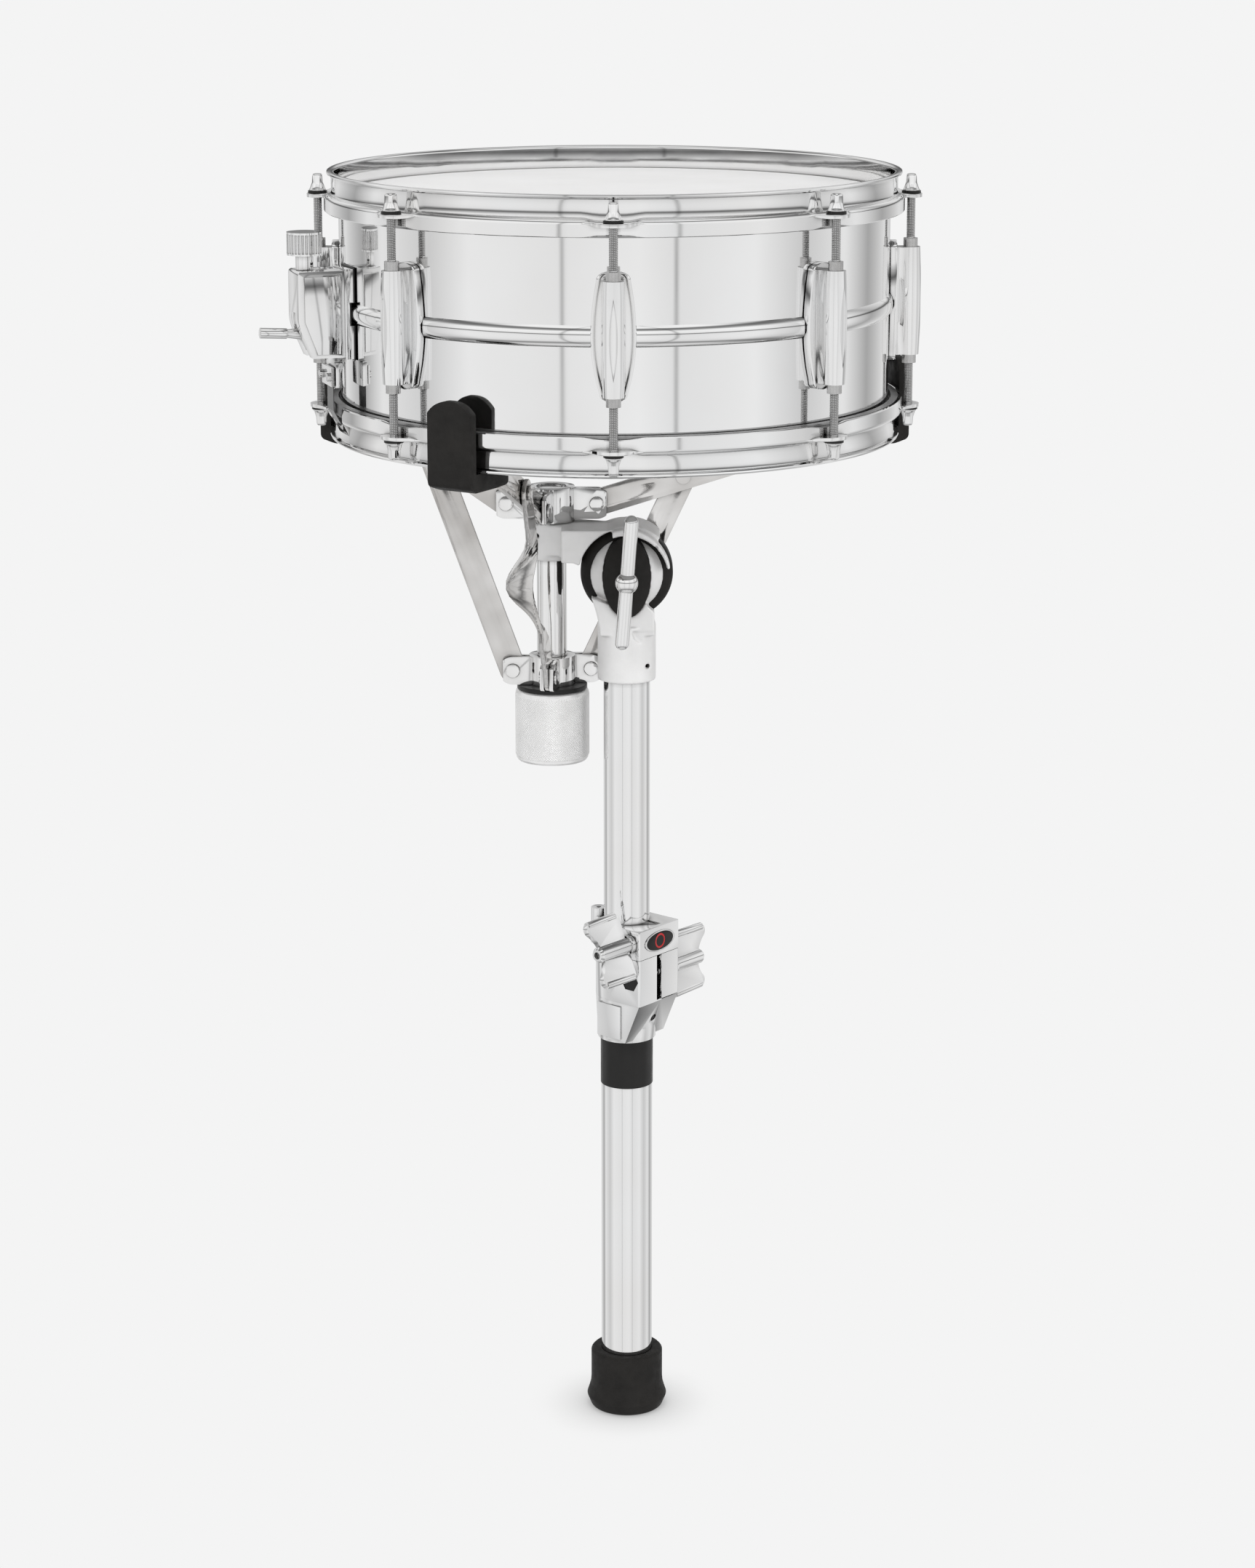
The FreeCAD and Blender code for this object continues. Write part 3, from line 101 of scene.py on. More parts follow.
class Finish(Tree):
    """A procedural material: constants sit on the shader's own sockets, the rest comes from nodes."""

    def __init__(self, name, colour, metallic=0.0, specular=0.5):
        self.material = bpy.data.materials.new(name)
        self.material.use_nodes = True
        super().__init__(self.material.node_tree)
        self.shader = self.tree.nodes["Principled BSDF"]
        self.shader.inputs["Base Color"].default_value = (*colour, 1)
        self.shader.inputs["Metallic"].default_value = metallic
        self.shader.inputs["Specular IOR Level"].default_value = specular
        self.place = self.node("ShaderNodeTexCoord").outputs["Object"]

    def noise(self, size, detail=3.0, rough=0.5, stretch=(1, 1, 1)):
        """Noise with features about size metres across, drawn out along each axis by stretch."""
        spread = self.node("ShaderNodeMapping")
        self.feed(spread.inputs["Vector"], self.place)
        self.feed(spread.inputs["Scale"], tuple(1 / s for s in stretch))
        made = self.node("ShaderNodeTexNoise")
        self.feed(made.inputs["Vector"], spread.outputs["Vector"])
        self.feed(made.inputs["Scale"], 1 / size)
        self.feed(made.inputs["Detail"], detail)
        self.feed(made.inputs["Roughness"], rough)
        return made.outputs["Fac"]

    def cells(self, size):
        """Round cells about size metres apart."""
        made = self.node("ShaderNodeTexVoronoi")
        self.feed(made.inputs["Vector"], self.place)
        self.feed(made.inputs["Scale"], 1 / size)
        return made.outputs["Distance"]

    def spread(self, source, low, high, start=0.3, end=0.7):
        """The source stretched from start..end, where noise spends its time, to low..high."""
        made = self.node("ShaderNodeMapRange")
        limits = {"From Min": start, "From Max": end, "To Min": low, "To Max": high}
        for name, value in {"Value": source, **limits}.items():
            self.feed(made.inputs[name], value)
        return made.outputs["Result"]

    def rough(self, source, low, high):
        """Roughness between low and high."""
        self.feed(self.shader.inputs["Roughness"], self.spread(source, low, high))
        return self

    def colours(self, source, first, second):
        """Base colour between the first and the second."""
        made = self.node("ShaderNodeMix", data_type="RGBA")
        self.feed(made.inputs["Factor"], self.spread(source, 0, 1))
        self.feed(made.inputs["A"], (*first, 1))
        self.feed(made.inputs["B"], (*second, 1))
        self.feed(self.shader.inputs["Base Color"], made.outputs["Result"])
        return self

    def painted_corner_shade(self, reach, shade):
        """Painted shade: darkens the colour towards the shade given where a corner or a neighbour is closer
        than reach.
        """
        # painted shade: ambient occlusion pulls the base colour towards the shade colour
        near = self.node("ShaderNodeAmbientOcclusion", samples=4)
        self.feed(near.inputs["Distance"], reach)
        unshaded = self.shader.inputs["Base Color"].links[0].from_socket
        made = self.node("ShaderNodeMix", data_type="RGBA")
        self.feed(made.inputs["Factor"], self.spread(near.outputs["AO"], 0, 1, 0.3, 0.85))
        self.feed(made.inputs["A"], (*shade, 1))
        self.feed(made.inputs["B"], unshaded)
        self.feed(self.shader.inputs["Base Color"], made.outputs["Result"])
        return self

    def bump(self, source, height):
        """Relief height metres deep, on top of any relief already there."""
        made = self.node("ShaderNodeBump")
        last = self.shader.inputs["Normal"].links
        if last:
            self.feed(made.inputs["Normal"], last[0].from_socket)
        self.feed(made.inputs["Height"], source)
        self.feed(made.inputs["Distance"], height)
        self.feed(made.inputs["Strength"], 1)
        self.feed(self.shader.inputs["Normal"], made.outputs["Normal"])
        return self


def grey(value, warmth=0.0):
    """A grey, turned towards yellow by a positive warmth."""
    return (value * (1 + warmth), value, value * (1 - warmth))


def chrome():
    """Plate: near-mirror, with handling smears and the slight waviness of polished metal under it."""
    made = Finish("chrome", grey(0.9), metallic=1.0)
    made.rough(made.noise(0.025, 5, 0.62), 0.03, 0.08)
    made.colours(made.noise(0.06, 2), grey(0.873, 0.006), grey(0.9, -0.004))
    # painted shade: the colour turns near black in corners and crevices, as dark outlines along mirrored
    # edges
    made.painted_corner_shade(0.004, grey(0.16, 0.02))
    return made.bump(made.noise(0.012, 2), 0.00001)


def shell_chrome():
    """Plate on the spun shell: cleaner than the fittings, with smears drawn out up and down."""
    made = Finish("shell_chrome", grey(0.9), metallic=1.0)
    made.rough(made.noise(0.03, 6, 0.65, stretch=(1, 1, 3)), 0.035, 0.075)
    return made.colours(made.noise(0.1, 3), grey(0.88, 0.004), grey(0.92, -0.003))


def satin_cast():
    """Silver paint over a die casting: a fine grain and the soft unevenness of the casting."""
    made = Finish("satin_cast", grey(0.9), metallic=0.35, specular=0.6)
    made.rough(made.noise(0.004, 5, 0.6), 0.38, 0.52)
    made.colours(made.noise(0.02, 5, 0.6), grey(0.86, 0.004), grey(0.93, 0.002))
    # painted shade: the colour turns mid grey in the casting's corners and steps
    made.painted_corner_shade(0.005, grey(0.5, 0.02))
    made.bump(made.noise(0.0009, 4, 0.6), 0.00006)
    return made.bump(made.noise(0.012, 3), 0.00025)


def satin_nut():
    """Bead-blasted plate on the turned nut."""
    made = Finish("satin_nut", grey(0.93), metallic=0.6, specular=0.6)
    made.rough(made.noise(0.003, 4), 0.3, 0.45)
    made.colours(made.noise(0.015, 4), grey(0.9, 0.003), grey(0.97, 0.003))
    return made.bump(made.noise(0.0006, 3), 0.00003)


def mottled_reflection_chrome():
    """Plate on the basket's stamped bars: orange-peeled, with a darker, brownish base colour mottled by
    noise that is a painted reflection of dark surroundings.
    """
    made = Finish("mottled_reflection_chrome", grey(0.72), metallic=1.0)
    made.rough(made.noise(0.012, 6, 0.65), 0.05, 0.13)
    # painted reflection: a darker, brownish colour mottled by noise stands in for the dark things the bars
    # mirror
    made.colours(made.noise(0.045, 2, 0.5), grey(0.5, 0.035), grey(0.84, 0.01))
    # painted shade: the colour turns near black in corners and crevices
    made.painted_corner_shade(0.005, grey(0.12, 0.05))
    made.bump(made.noise(0.0035, 3), 0.00002)
    return made.bump(made.noise(0.03, 2), 0.0005)


def rubber():
    """Moulded rubber: matt, faintly brown, with a leathery grain."""
    made = Finish("rubber", grey(0.012), specular=0.22)
    made.rough(made.noise(0.006, 5, 0.6), 0.46, 0.68)
    made.colours(made.noise(0.018, 6, 0.65), grey(0.010, 0.06), grey(0.017, 0.08))
    made.bump(made.noise(0.0007, 3), 0.00004)
    return made.bump(made.noise(0.009, 3), 0.00012)


def black_plastic():
    """Moulded plastic: smoother than the rubber."""
    made = Finish("black_plastic", grey(0.012), specular=0.3)
    made.rough(made.noise(0.008, 4), 0.26, 0.4)
    made.colours(made.noise(0.02, 4), grey(0.008, 0.03), grey(0.013, 0.03))
    return made.bump(made.noise(0.0011, 3), 0.00002)


def head_film():
    """The coating sprayed on the playing head: white, with a fine pebbled grain."""
    made = Finish("head_film", grey(0.87), specular=0.3)
    made.rough(made.noise(0.02, 4), 0.5, 0.68)
    made.colours(made.noise(0.05, 5, 0.6), grey(0.82, 0.004), grey(0.86, 0.002))
    made.bump(made.noise(0.0012, 5, 0.7), 0.00008)
    return made.bump(made.cells(0.0025), 0.00003)


def clear_film():
    """The thin, hazy film of the snare-side head."""
    made = Finish("clear_film", grey(0.75), specular=0.5)
    made.rough(made.noise(0.03, 4), 0.12, 0.25)
    made.colours(made.noise(0.04, 4), grey(0.7), grey(0.8, 0.01))
    made.shader.inputs["Alpha"].default_value = 0.55
    return made.bump(made.noise(0.05, 2), 0.0001)


def ring_metal():
    """The dull aluminium of the heads' flesh hoops."""
    made = Finish("ring_metal", grey(0.4), metallic=1.0)
    made.rough(made.noise(0.004, 4), 0.3, 0.45)
    return made.colours(made.noise(0.02, 3), grey(0.34), grey(0.44))


def steel(name, shade, low, high):
    """Bare steel, its roughness from low to high."""
    made = Finish(name, grey(shade), metallic=1.0)
    made.rough(made.noise(0.003, 4), low, high)
    made.colours(made.noise(0.008, 4), grey(shade * 0.85, 0.01), grey(shade, 0.005))
    return made.bump(made.noise(0.0008, 3), 0.00002)


def strap_film():
    """The snare straps' dark plastic film."""
    made = Finish("strap_film", grey(0.06), specular=0.5)
    made.rough(made.noise(0.01, 4), 0.15, 0.3)
    made.colours(made.noise(0.01, 4), grey(0.05), grey(0.08))
    return made.bump(made.noise(0.004, 3), 0.00004)


def red_enamel():
    """The badge's glossy enamel."""
    made = Finish("red_enamel", (0.5, 0.01, 0.012), specular=0.5)
    made.rough(made.noise(0.002, 3), 0.12, 0.25)
    return made.colours(made.noise(0.004, 3), (0.42, 0.008, 0.01), (0.55, 0.014, 0.014))


FINISHES = {
    "chrome": chrome(),
    "shell_chrome": shell_chrome(),
    "satin_cast": satin_cast(),
    "satin_nut": satin_nut(),
    "rubber": rubber(),
    "black_plastic": black_plastic(),
    "head_film": head_film(),
    "clear_film": clear_film(),
    "ring_metal": ring_metal(),
    "steel_wire": steel("steel_wire", 0.7, 0.18, 0.32),
    "strap_film": strap_film(),
    "steel": steel("steel", 0.6, 0.2, 0.38),
}
PAINTED_REFLECTION_PLATE = mottled_reflection_chrome()
THREAD_STEEL = steel("thread_steel", 0.42, 0.22, 0.36)
BADGE_RED = red_enamel()
PAINTED_REFLECTION_NODES = ["arm_1", "arm_2", "arm_3", "link_1", "link_2", "link_3"]


def finish_of(node):
    """The finish of a CAD node: its slot's, but on the basket's bars the plate whose colour carries a
    painted reflection.
    """
    return PAINTED_REFLECTION_PLATE if node in PAINTED_REFLECTION_NODES else FINISHES[SLOT_OF[node]]


def finish_nodes():
    """Every CAD node takes its procedural finish."""
    for node in SLOT_OF:
        materials = NODES[node].data.materials
        materials.clear()
        materials.append(finish_of(node).material)


# ---------------------------------------------------------------- piece builders
def piece(name, mesh, slot, body, stands_for=(), finish=None):
    """A new piece in a slot's finish, or its own, that rides on a body and stands for CAD nodes."""
    mesh.materials.clear()
    mesh.materials.append((finish or FINISHES[slot]).material)
    made = bpy.data.objects.new(name, mesh)
    bpy.context.scene.collection.objects.link(made)
    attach(made, body)
    if stands_for:
        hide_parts(*stands_for)


def mesh_of(name, points, faces):
    """A mesh of points and faces, without anything Blender can't use."""
    mesh = bpy.data.meshes.new(name)
    mesh.from_pydata([tuple(p) for p in points], [], faces)
    mesh.validate()
    mesh.update()
    return mesh


def smooth(mesh, crease=35):
    """Smooth shading with edges kept sharp where the surface turns by more than crease degrees."""
    mesh.shade_smooth()
    mesh.set_sharp_from_angle(angle=math.radians(crease))
    return mesh


def along(x, stops):
    """The value at x on the curve through (x, value) stops, level at each of them."""
    for (x0, v0), (x1, v1) in zip(stops, stops[1:]):
        if x <= x1:
            t = min(max((x - x0) / (x1 - x0), 0), 1)
            return v0 + (v1 - v0) * t * t * (3 - 2 * t)
    return stops[-1][1]


def grid_faces(rows, columns, join_rows=False, start=0):
    """Faces over rows of points that each close on themselves, and the last row on the first if asked."""
    faces = []
    for row in range(rows if join_rows else rows - 1):
        here, above = start + row * columns, start + (row + 1) % rows * columns
        for c in range(columns):
            d = (c + 1) % columns
            faces.append((here + c, here + d, above + d, above + c))
    return faces


def end_faces(start, stop, count):
    """The two faces that close a grid whose points run from start to stop, count of them in a row."""
    return [tuple(range(start, start + count)), tuple(range(stop - count, stop))]


def solid(name, points, faces, crease=35):
    """A mesh with its faces turned outwards."""
    mesh = mesh_of(name, points, faces)
    work = bmesh.new()
    work.from_mesh(mesh)
    bmesh.ops.recalc_face_normals(work, faces=work.faces)
    work.to_mesh(mesh)
    work.free()
    return smooth(mesh, crease)


def workpiece(name, mesh):
    """A passing object for modifiers to work on."""
    made = bpy.data.objects.new(name, mesh)
    bpy.context.scene.collection.objects.link(made)
    return made


def worked_mesh(rough):
    """The mesh that a workpiece's modifiers make of it; the workpiece itself goes."""
    done = bpy.data.meshes.new_from_object(rough.evaluated_get(bpy.context.evaluated_depsgraph_get()))
    bpy.data.objects.remove(rough)
    return done


def rounded_edges(mesh, name, width):
    """The mesh with its sharp edges rounded by a bevel."""
    rough = workpiece(name, mesh)
    bevel = rough.modifiers.new("edges", "BEVEL")
    bevel.width = width
    bevel.segments = 3
    bevel.limit_method = "ANGLE"
    bevel.angle_limit = math.radians(28)
    bevel.use_clamp_overlap = True
    return worked_mesh(rough)


def stays_inside(mesh, node, slack=0.05 * MM):
    """Whether a mesh stays in a CAD node's box: a bevel can throw points out of a sharp corner."""
    low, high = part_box(node)
    return all(low[k] - slack <= point.co[k] <= high[k] + slack
               for point in mesh.vertices for k in range(3))


def softened(node, width):
    """A CAD node's own shape with its edges rounded, as wide as it can be up to the width given."""
    mesh = NODES[node].data.copy()
    work = bmesh.new()
    work.from_mesh(mesh)
    bmesh.ops.remove_doubles(work, verts=work.verts, dist=2e-6)
    bmesh.ops.dissolve_limit(work, angle_limit=math.radians(0.4), verts=work.verts, edges=work.edges)
    work.to_mesh(mesh)
    work.free()
    if "custom_normal" in mesh.attributes:
        mesh.attributes.remove(mesh.attributes["custom_normal"])
    done = rounded_edges(mesh, node + "_rough", width)
    while not stays_inside(done, node) and width > 0.05 * MM:
        width /= 2
        done = rounded_edges(mesh, node + "_rough", width)
    done.name = node + "_soft"
    piece(node + "_soft", smooth(done, 40), SLOT_OF[node], BODY_OF[node], (node,), finish_of(node))


def cast(node, grain, rounds):
    """A CAD node's own shape with its steps and corners melted together, as in a casting."""
    rough = workpiece(node + "_rough", NODES[node].data.copy())
    remesh = rough.modifiers.new("remesh", "REMESH")
    remesh.mode = "VOXEL"
    remesh.voxel_size = grain
    melt = rough.modifiers.new("melt", "SMOOTH")
    melt.factor = 0.5
    melt.iterations = rounds
    done = worked_mesh(rough)
    done.name = node + "_cast"
    piece(node + "_cast", smooth(done, 60), SLOT_OF[node], BODY_OF[node], (node,), finish_of(node))


# the size of the grain a casting is remeshed with, and how many rounds it is melted
CASTINGS = {"tilter_arm": (0.7, 14), "tilter_socket": (0.7, 14), "link_1": (0.5, 5)}

# the width of the bevel on each node's edges
SOFT_EDGES = {
    "height_clamp": 0.9, "memory_lock": 0.7, "clamp_wing_bolt": 0.8, "memory_wing_bolt": 0.8,
    "tilter_ball": 0.6, "tilter_handle": 0.5, "top_hub": 0.5, "lower_hub": 0.5, "hub_rivets": 0.5,
    "lower_hub_rivets": 0.5, "arm_1": 0.4, "arm_2": 0.4, "arm_3": 0.4, "link_2": 0.35, "link_3": 0.35,
    "pad_1": 1.2, "pad_2": 1.2, "pad_3": 1.2, "strainer_housing": 0.7, "strainer_lever": 0.5,
    "strainer_carriage": 0.5, "butt_plate": 0.6, "foot": 0.8, "basket_tube": 0.5, "nut_washer": 0.4,
}


def soften_castings():
    """Gives the castings, bars and moulded pieces their rounded edges."""
    for node, width in SOFT_EDGES.items():
        softened(node, width * MM)
    for node, (grain, rounds) in CASTINGS.items():
        cast(node, grain * MM, rounds)


# ---------------------------------------------------------------- hoops
# the rolled rim, as (radius, drop below the rim), and the collar's foot, as (radius, drop below the flange)
HOOP_LIP = [(180, 1.9), (180.15, 1.1), (180.6, 0.5), (181.4, 0.1), (182.3, 0), (184, 0), (184.9, 0.35),
            (185.2, 1.15), (184.9, 1.95), (184, 2.3), (183.1, 2.45), (182.5, 2.9), (182.3, 3.6)]
COLLAR_FOOT = [(182.3, -1.6), (182.6, -0.6), (183.5, 0)]
HOOP_INNER, HOOP_WALL, HOOP_BAND = 180, 2.3, 187
HOOP_HEM = 0.5

# an ear: how far out its tip is, the radius of its round end, and, as distances round the hoop from its
# rod, its shoulder, its root and the stretch that has close sections
EAR_TIP, EAR_ROUND, EAR_SHOULDER, EAR_ROOT, EAR_SPAN = 198.6, 12.3, 11.2, 17.5, 22

# how the drop of the flange, its corner's radius and the drop of the band change away from a rod
FLANGE_DROP = [(9, 16), (19, 14.3)]
CORNER_ROUND = [(10, 0.6), (21, 3.2)]
BAND_DROP = [(6, 24), (20, 25.4)]

# the gates for the snare straps: half their width, and how deep the rim left over them is
GATE_HALF, GATE_DROP = 12.5, 7.6


def ear_reach(offset):
    """How far the hoop reaches from the drum's axis, at a distance round it from the nearest rod."""
    if offset < EAR_SHOULDER:
        return EAR_TIP - EAR_ROUND + math.sqrt(EAR_ROUND ** 2 - offset ** 2)
    rise = ear_reach(EAR_SHOULDER - 1e-6) - HOOP_BAND
    return HOOP_BAND + rise * max(0, (EAR_ROOT - offset) / (EAR_ROOT - EAR_SHOULDER)) ** 2


def hoop_section(offset):
    """The hoop's outline as (radius, drop below its rim): lip, collar, flange and turned-down band."""
    flange = along(offset, FLANGE_DROP)
    corner = along(offset, CORNER_ROUND)
    band = along(offset, BAND_DROP)
    reach = ear_reach(offset)
    under = flange + max(HOOP_WALL, corner)
    hem = min(HOOP_HEM, max(0, band - under) / 2)
    turn = [math.radians(a) for a in (90, 72, 54, 36, 18, 0)]
    return ([(HOOP_INNER, flange + HOOP_WALL)] + HOOP_LIP
            + [(r, flange + d) for r, d in COLLAR_FOOT]
            + [(reach - corner + corner * math.cos(a), flange + corner - corner * math.sin(a)) for a in turn]
            + [(reach, under), (HOOP_BAND, under), (HOOP_BAND, band - hem), (HOOP_BAND - hem, band),
               (HOOP_BAND - HOOP_WALL + hem, band), (HOOP_BAND - HOOP_WALL, band - hem),
               (HOOP_BAND - HOOP_WALL, flange + HOOP_WALL)])


def hoop_bearings(gates):
    """Azimuths of the hoop's sections: closer at the ears, and doubled at each side of a gate."""
    per_mm = math.degrees(1 / HOOP_BAND)
    spots = set()
    for rod in ROD_AZIMUTHS:
        spots.update(rod + per_mm * s for s in range(-EAR_SPAN, EAR_SPAN + 1, 2))
        between = ROD_STEP - per_mm * 2 * EAR_SPAN
        spots.update(rod + per_mm * EAR_SPAN + between * k / 12 for k in range(1, 12))
    for gate in gates:
        for side in (-1, 1):
            spots.update(gate % 360 + side * per_mm * (GATE_HALF + d) for d in (-0.01, 0.01))
    return sorted(spot % 360 for spot in spots)


def hoop_distance(azimuth, other):
    """How far round the hoop two azimuths are apart."""
    return math.radians(abs((azimuth - other + 180) % 360 - 180)) * HOOP_BAND


def make_hoop(node, up, gates=()):
    """A hoop, its rim up or down, cut down to a plain rim at its gates."""
    low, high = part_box(node)
    centre = Vector((DRUM.x, DRUM.y, high.z if up > 0 else low.z))
    sections = []
    for azimuth in hoop_bearings(gates):
        outline = hoop_section(min(hoop_distance(azimuth, rod) for rod in ROD_AZIMUTHS))
        if any(hoop_distance(azimuth, gate) < GATE_HALF for gate in gates):
            outline = [(r, d) if d < GATE_DROP else (min(r, HOOP_INNER + HOOP_WALL), GATE_DROP)
                       for r, d in outline]
        way = heading(azimuth)
        sections.append([centre + (way * r - Vector((0, 0, up * d))) * MM for r, d in outline])
    points = [point for section in sections for point in section]
    faces = grid_faces(len(sections), len(sections[0]), join_rows=True)
    piece(node + "_rolled", solid(node + "_rolled", points, faces), "chrome", "drum", (node,))


def make_hoops():
    """The top hoop, and the bottom hoop with its two gates."""
    make_hoop("top_hoop", 1)
    make_hoop("bottom_hoop", -1, (STRAINER_AZIMUTH, STRAINER_AZIMUTH + 180))


# ---------------------------------------------------------------- shell
SHELL, SHELL_HALF = 177.8, 69.85
BEAD_HALF, BEAD_RISE, BEAD_STEPS = 6.6, 2.6, 12
VENT_AZIMUTH, VENT_LEVEL, VENT_RADIUS = 157.5, 30, 5
DRILL_REACH, DRILL_SIDES = 12, 32

# the upper half of the shell above its bead, from the wall up over the bearing edge and back inside,
# as (radius, drop below the top)
SHELL_EDGE = [(SHELL, 2.2), (SHELL, 1.6), (177.55, 0.8), (177, 0.25), (176.2, 0), (174.4, 0), (174.4, 1.2),
              (176.6, 3)]


def shell_outline():
    """The spun shell's section: rounded bearing edges turned in, and the rolled bead round its middle."""
    shares = [step / BEAD_STEPS for step in range(-BEAD_STEPS, BEAD_STEPS + 1)]
    bead = [(SHELL + BEAD_RISE * (1 - abs(share) ** 2.4), BEAD_HALF * share) for share in shares]
    upper = [(SHELL, BEAD_HALF + 0.6)] + [(r, SHELL_HALF - drop) for r, drop in SHELL_EDGE]
    lower = [(r, -z) for r, z in reversed(upper)]
    return lower + bead + upper


def vent_drill():
    """What is cut out of the shell for its vent."""
    out = heading(VENT_AZIMUTH)
    side = Vector((-out.y, out.x, 0))
    points = []
    for reach in (SHELL - DRILL_REACH, SHELL + DRILL_REACH):
        for k in range(DRILL_SIDES):
            a = 2 * math.pi * k / DRILL_SIDES
            spot = side * math.cos(a) + Vector((0, 0, math.sin(a)))
            points.append(DRUM + (out * reach + spot * VENT_RADIUS + Vector((0, 0, VENT_LEVEL))) * MM)
    faces = grid_faces(2, DRILL_SIDES) + end_faces(0, len(points), DRILL_SIDES)
    return workpiece("vent_drill", solid("vent_drill", points, faces))


def make_shell(sides=288):
    """The shell, turned from its section and drilled for the vent."""
    outline = shell_outline()
    points = []
    for side in range(sides):
        way = heading(360 * side / sides)
        points += [DRUM + (way * r + Vector((0, 0, z))) * MM for r, z in outline]
    faces = grid_faces(sides, len(outline), join_rows=True)
    blank = workpiece("shell_blank", solid("shell_spun", points, faces))
    drill = vent_drill()
    hole = blank.modifiers.new("vent", "BOOLEAN")
    hole.operation = "DIFFERENCE"
    hole.solver = "EXACT"
    hole.object = drill
    done = worked_mesh(blank)
    bpy.data.objects.remove(drill)
    piece("shell_spun", smooth(done, 30), "shell_chrome", "drum", ("shell",))


# ---------------------------------------------------------------- tension rods
# (height from the drum's middle, half width, power): a power of 2 is round, and a higher one squarer
ROD_PROFILE = [(26, 2.5, 2), (70.9, 2.5, 2), (71.1, 5.1, 2), (71.2, 5.4, 2), (71.5, 5.5, 2), (72, 5.4, 2),
               (72.4, 5, 2), (73.6, 4.5, 2.2), (74.8, 4.1, 2.4), (75.6, 3.8, 2.8), (76.5, 3.5, 3.5),
               (80.3, 3.2, 4.5), (81.2, 3, 4), (81.8, 2.6, 3.4), (82.1, 1.8, 2.6)]


def squircle_reach(angle, half, power):
    """How far a rounded square reaches from its middle at an angle from one of its faces."""
    return half / (abs(math.cos(angle)) ** power + abs(math.sin(angle)) ** power) ** (1 / power)


def make_rods(sides=32):
    """Sixteen tension rods: a stem, a flange and a key head that turns from round to square."""
    points, faces = [], []
    for azimuth in ROD_AZIMUTHS:
        out = heading(azimuth)
        side = Vector((-out.y, out.x, 0))
        for up in (-1, 1):
            start = len(points)
            for level, half, power in ROD_PROFILE:
                for k in range(sides):
                    a = 2 * math.pi * k / sides
                    reach = squircle_reach(a, half, power)
                    spot = out * (ROD_CIRCLE + reach * math.cos(a)) + side * (reach * math.sin(a))
                    points.append(DRUM + (spot + Vector((0, 0, up * level))) * MM)
            faces += grid_faces(len(ROD_PROFILE), sides, start=start)
            faces += end_faces(start, len(points), sides)
    mesh = solid("rods_turned", points, faces, 40)
    piece("rods_turned", mesh, SLOT_OF["tension_rods"], "drum", ("tension_rods",))


# ---------------------------------------------------------------- lugs
BARREL_HALF, BARREL_ROUND, BARREL_BULGE = 35, 6.4, 0.9
FACET_HALF, FACET_LENGTH_HALF, FACET_DEPTH = 2.7, 25, 0.4
PLATE_HALF, PLATE_BLUNT, PLATE_WAIST, PLATE_TOP, PLATE_BOTTOM = 39.3, 34, 13.8, 10.4, 8.6

# the raised rim of the base, as (height over the shell, distance inwards from the base's edge), then
# the web that carries the barrel, as (height over the shell, distance from the lug's middle plane)
LUG_RIM = [(3.6, 0), (4.3, 0.35), (4.6, 1.1), (4.4, 1.9), (3.4, 2.5), (3.1, 3)]
LUG_WEB = [(3.4, 5.9), (5, 5.1), (7.2, 4.8)]

# the levels of a lug's sections from its middle to its end, of which the last six are beyond the barrel
LUG_LEVELS = [1.6, 2.7, 4, 5.3, 6.6, 9, 13, 17, 21, 23.5, 25, 26, 29, 32, 34.6, BARREL_HALF,
              BARREL_HALF + 0.02, 35.8, 37, 38, 38.8, PLATE_HALF - 0.02]


def plate_half_width(z):
    """Half the width of the lug's long base: blunt ends, the upper one wider."""
    end = PLATE_TOP if z > 0 else PLATE_BOTTOM
    if abs(z) <= PLATE_BLUNT:
        return end + (PLATE_WAIST - end) * (1 - (z / PLATE_BLUNT) ** 2)
    return end * (1 - ((abs(z) - PLATE_BLUNT) / (PLATE_HALF - PLATE_BLUNT)) ** 2.6) ** 0.5


def lug_section(z, barrel):
    """Half of a lug's outline at a height, as (radius, sideways): rim, trough, waisted web and barrel."""
    wide = plate_half_width(z)
    foot = SHELL + 0.2 + BEAD_RISE * along(abs(z), [(BEAD_HALF * 0.25, 1), (BEAD_HALF, 0)])
    half = [(foot, wide - 0.5), (foot, wide - 0.1)]
    half += [(SHELL + rise, wide - inwards) for rise, inwards in LUG_RIM]
    if not barrel:
        trough_rise, trough_inwards = LUG_RIM[-1]
        trough = wide - trough_inwards
        half += [(SHELL + trough_rise, trough - trough * k / 13) for k in range(1, 14)]
        return [(r, max(y, 0)) for r, y in half]
    bulge = BARREL_ROUND + BARREL_BULGE * (1 - (z / BARREL_HALF) ** 2)
    facet = FACET_HALF * max(0, 1 - (z / FACET_LENGTH_HALF) ** 2)
    sunk = FACET_DEPTH if facet > 0 else 0
    half += [(SHELL + rise, y) for rise, y in LUG_WEB]
    half += [(ROD_CIRCLE + bulge * math.cos(math.radians(a)), bulge * math.sin(math.radians(a)))
             for a in (126, 108, 90, 72, 56, 42, 30)]
    front = ROD_CIRCLE + math.sqrt(bulge ** 2 - facet ** 2)
    return half + [(front, facet), (front - sunk, max(facet - 0.55, 0)), (ROD_CIRCLE + bulge - sunk, 0)]


